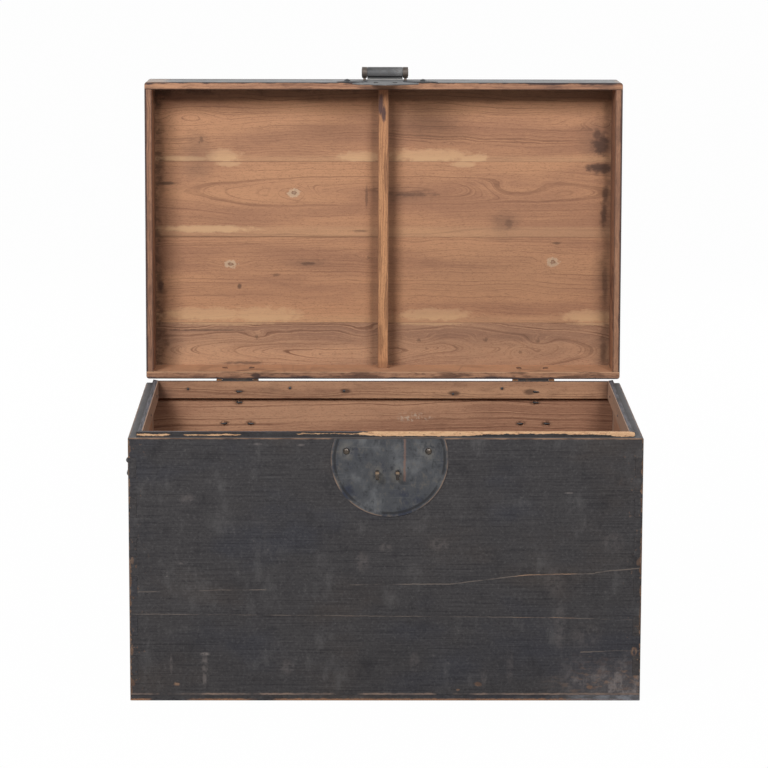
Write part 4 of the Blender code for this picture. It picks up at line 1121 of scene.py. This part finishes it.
def brass_with_painted_highlight(name, seed):
    """Dark brass with a painted highlight on the upper crowns."""
    material, surface, place = start_finish(name)
    x, y, z = split(place)
    fleck = cloud(place, (260.0, 260.0, 260.0), 4.0, seed)
    bloom = cloud(place, (90.0, 90.0, 90.0), 3.0, seed + 1.0)
    colour = blend(soft(bloom, 0.40, 0.65), shade(46, 41, 38), shade(78, 68, 58))
    proud = soft(y + half_deep + (fleck - 0.5) * 0.003, -0.0150, -0.0190)
    # Painted highlight on the proud upper crowns.
    painted_crown_highlight = proud * soft(z - staple_z, 0.002, 0.006)
    colour = blend(painted_crown_highlight * 0.6, colour, shade(170, 142, 112))
    colour = blend(soft(fleck, 0.60, 0.74) * 0.5, colour, shade(40, 35, 33))
    roughness = 0.26 + soft(fleck, 0.4, 0.7) * 0.12
    apply_finish(surface, colour, roughness, fleck * 0.6, 0.0001, 0.5, 0.5)
    return material


dress(lock_brass, brass_with_painted_highlight("brass_with_painted_highlight", 138.0))

# %% [markdown]
# The lock plate shows the most. Its rim is rubbed to a thin broken brown line with a dark one inside
# it, the metal is paler round the nails and staples, and an old scratch runs down on the right. Both
# halves share one recipe, the upper half through the lid's own axes, so the pattern meets at the seam.

# %% The lock plate
plate_low, plate_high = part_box("lock_plate_lower")
plate_x = middle("lock_plate_lower")[0]
plate_radius = (plate_high.x - plate_low.x) / 2.0
plate_z = plate_low.z + plate_radius
halo_wide, halo_tall = 0.0150, 0.0180
plate_halos = [(*middle(name), halo_wide, halo_tall) for name in lock_brass]
scar_x, scar_foot, scar_top = 0.0325, 0.388, 0.470
print("lock plate centre", round(plate_x, 4), round(plate_z, 4), "radius", round(plate_radius, 4))


def plate_finish(name, upper, seed):
    """Grey plate with a broken brown rim, pale halos and a scratch."""
    material, surface, place = start_finish(name)
    own = shut_place(place) if upper else place
    x, y, z = split(own)
    away_x, away_z = x - plate_x, z - plate_z
    reach = (away_x * away_x + away_z * away_z) ** 0.5
    bloom = cloud(own, (24.0, 24.0, 20.0), 5.0, seed, 0.62)
    fine = cloud(own, (110.0, 110.0, 80.0), 4.0, seed + 1.0, 0.62)
    strokes = cloud(own, (26.0, 300.0, 420.0), 3.0, seed + 2.0)
    colour = layers(
        shade(69, 70, 73),
        (bloom, 0.48, 0.68, 0.90, shade(94, 95, 97)), (bloom, 0.47, 0.31, 0.90, shade(49, 52, 63)),
        (fine, 0.52, 0.74, 0.50, shade(100, 95, 88)), (fine, 0.48, 0.28, 0.60, shade(44, 44, 46)),
        (strokes, 0.58, 0.74, 0.35, shade(104, 104, 102)),
    )
    halo = all_spots(x, z, fine, plate_halos, 1.6)
    colour = blend(halo * soft(fine, 0.35, 0.6) * 0.40, colour, shade(118, 114, 108))
    shadow = span(reach + (fine - 0.5) * 0.002, plate_radius - 0.0075, plate_radius - 0.0050, 0.002)
    colour = blend(shadow * soft(bloom, 0.64, 0.46) * 0.8, colour, shade(42, 42, 44))
    rim = soft(reach + (fine - 0.5) * 0.0030, plate_radius - 0.0026, plate_radius - 0.0014)
    colour = blend(rim * soft(bloom, 0.34, 0.56) * 0.8, colour, shade(120, 102, 90))
    scar = soft(abs(x - scar_x + (fine - 0.5) * 0.008), 0.0028, 0.0008)
    scar = scar * span(z, scar_foot, scar_top, 0.004)
    colour = blend(scar * soft(bloom + fine, 0.80, 1.10) * 0.7, colour, shade(118, 92, 82))
    roughness = 0.50 + soft(fine, 0.35, 0.7) * 0.12 - halo * 0.06
    apply_finish(surface, colour, roughness, bloom * 0.6 + fine * 0.4, 0.0004, 0.12, 0.15)
    return material


dress(["lock_plate_lower"], plate_finish("plate_lower", False, 140.0))
dress(["lock_plate_upper"], plate_finish("plate_upper", True, 140.0))

# %% [markdown]
# ## Tacks of the lip strips
# Small dome-headed tacks hold the strips to the walls. One tack is half a ball, flat at its foot: a
# profile spun once round its axis. The same bmesh then carries every tack, each made at its place on the
# inner face of a strip, because they share one finish and one body.

# %% The tacks
tack_radius, tack_rise, tack_height = 0.0024, 0.0012, 0.450
profile_steps, spin_steps = 4, 16
front_tacks = (-0.36, -0.18, 0.0, 0.18, 0.36)
side_tacks = (-0.19, 0.0, 0.19)


def add_tack(shape, spin_axis, foot):
    """Dome with its foot on a strip, facing along an axis into the box."""
    aside = spin_axis.orthogonal().normalized()
    profile = [shape.verts.new(foot)]
    for step in range(profile_steps + 1):
        angle = math.pi / 2.0 * step / profile_steps
        point = foot + aside * tack_radius * math.cos(angle) + spin_axis * tack_rise * math.sin(angle)
        profile.append(shape.verts.new(point))
    edges = [shape.edges.new(pair) for pair in zip(profile, profile[1:])]
    bmesh.ops.spin(
        shape, geom=profile + edges, cent=foot, axis=spin_axis, angle=math.tau, steps=spin_steps,
        use_merge=True)


tacks = bmesh.new()
strip_inner = {side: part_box("lip_strip_" + side) for side in sides}
for along, height in back_tacks:
    add_tack(tacks, Vector((0.0, -1.0, 0.0)), Vector((along, strip_inner["back"][0].y, height)))
for along in front_tacks:
    add_tack(tacks, Vector((0.0, 1.0, 0.0)), Vector((along, strip_inner["front"][1].y, tack_height)))
for along in side_tacks:
    add_tack(tacks, Vector((1.0, 0.0, 0.0)), Vector((strip_inner["left"][1].x, along, tack_height)))
    add_tack(tacks, Vector((-1.0, 0.0, 0.0)), Vector((strip_inner["right"][0].x, along, tack_height)))
bmesh.ops.remove_doubles(tacks, verts=tacks.verts, dist=1e-6)
bmesh.ops.recalc_face_normals(tacks, faces=tacks.faces)
tack_mesh = bpy.data.meshes.new("lip_tacks")
tacks.to_mesh(tack_mesh)
tacks.free()
tack_mesh.shade_smooth()
tack_mesh.materials.append(iron)
tack_piece = bpy.data.objects.new("lip_tacks", tack_mesh)
bpy.context.scene.collection.objects.link(tack_piece)
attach(tack_piece, "box")
print("tacks", len(tack_mesh.polygons), "faces")
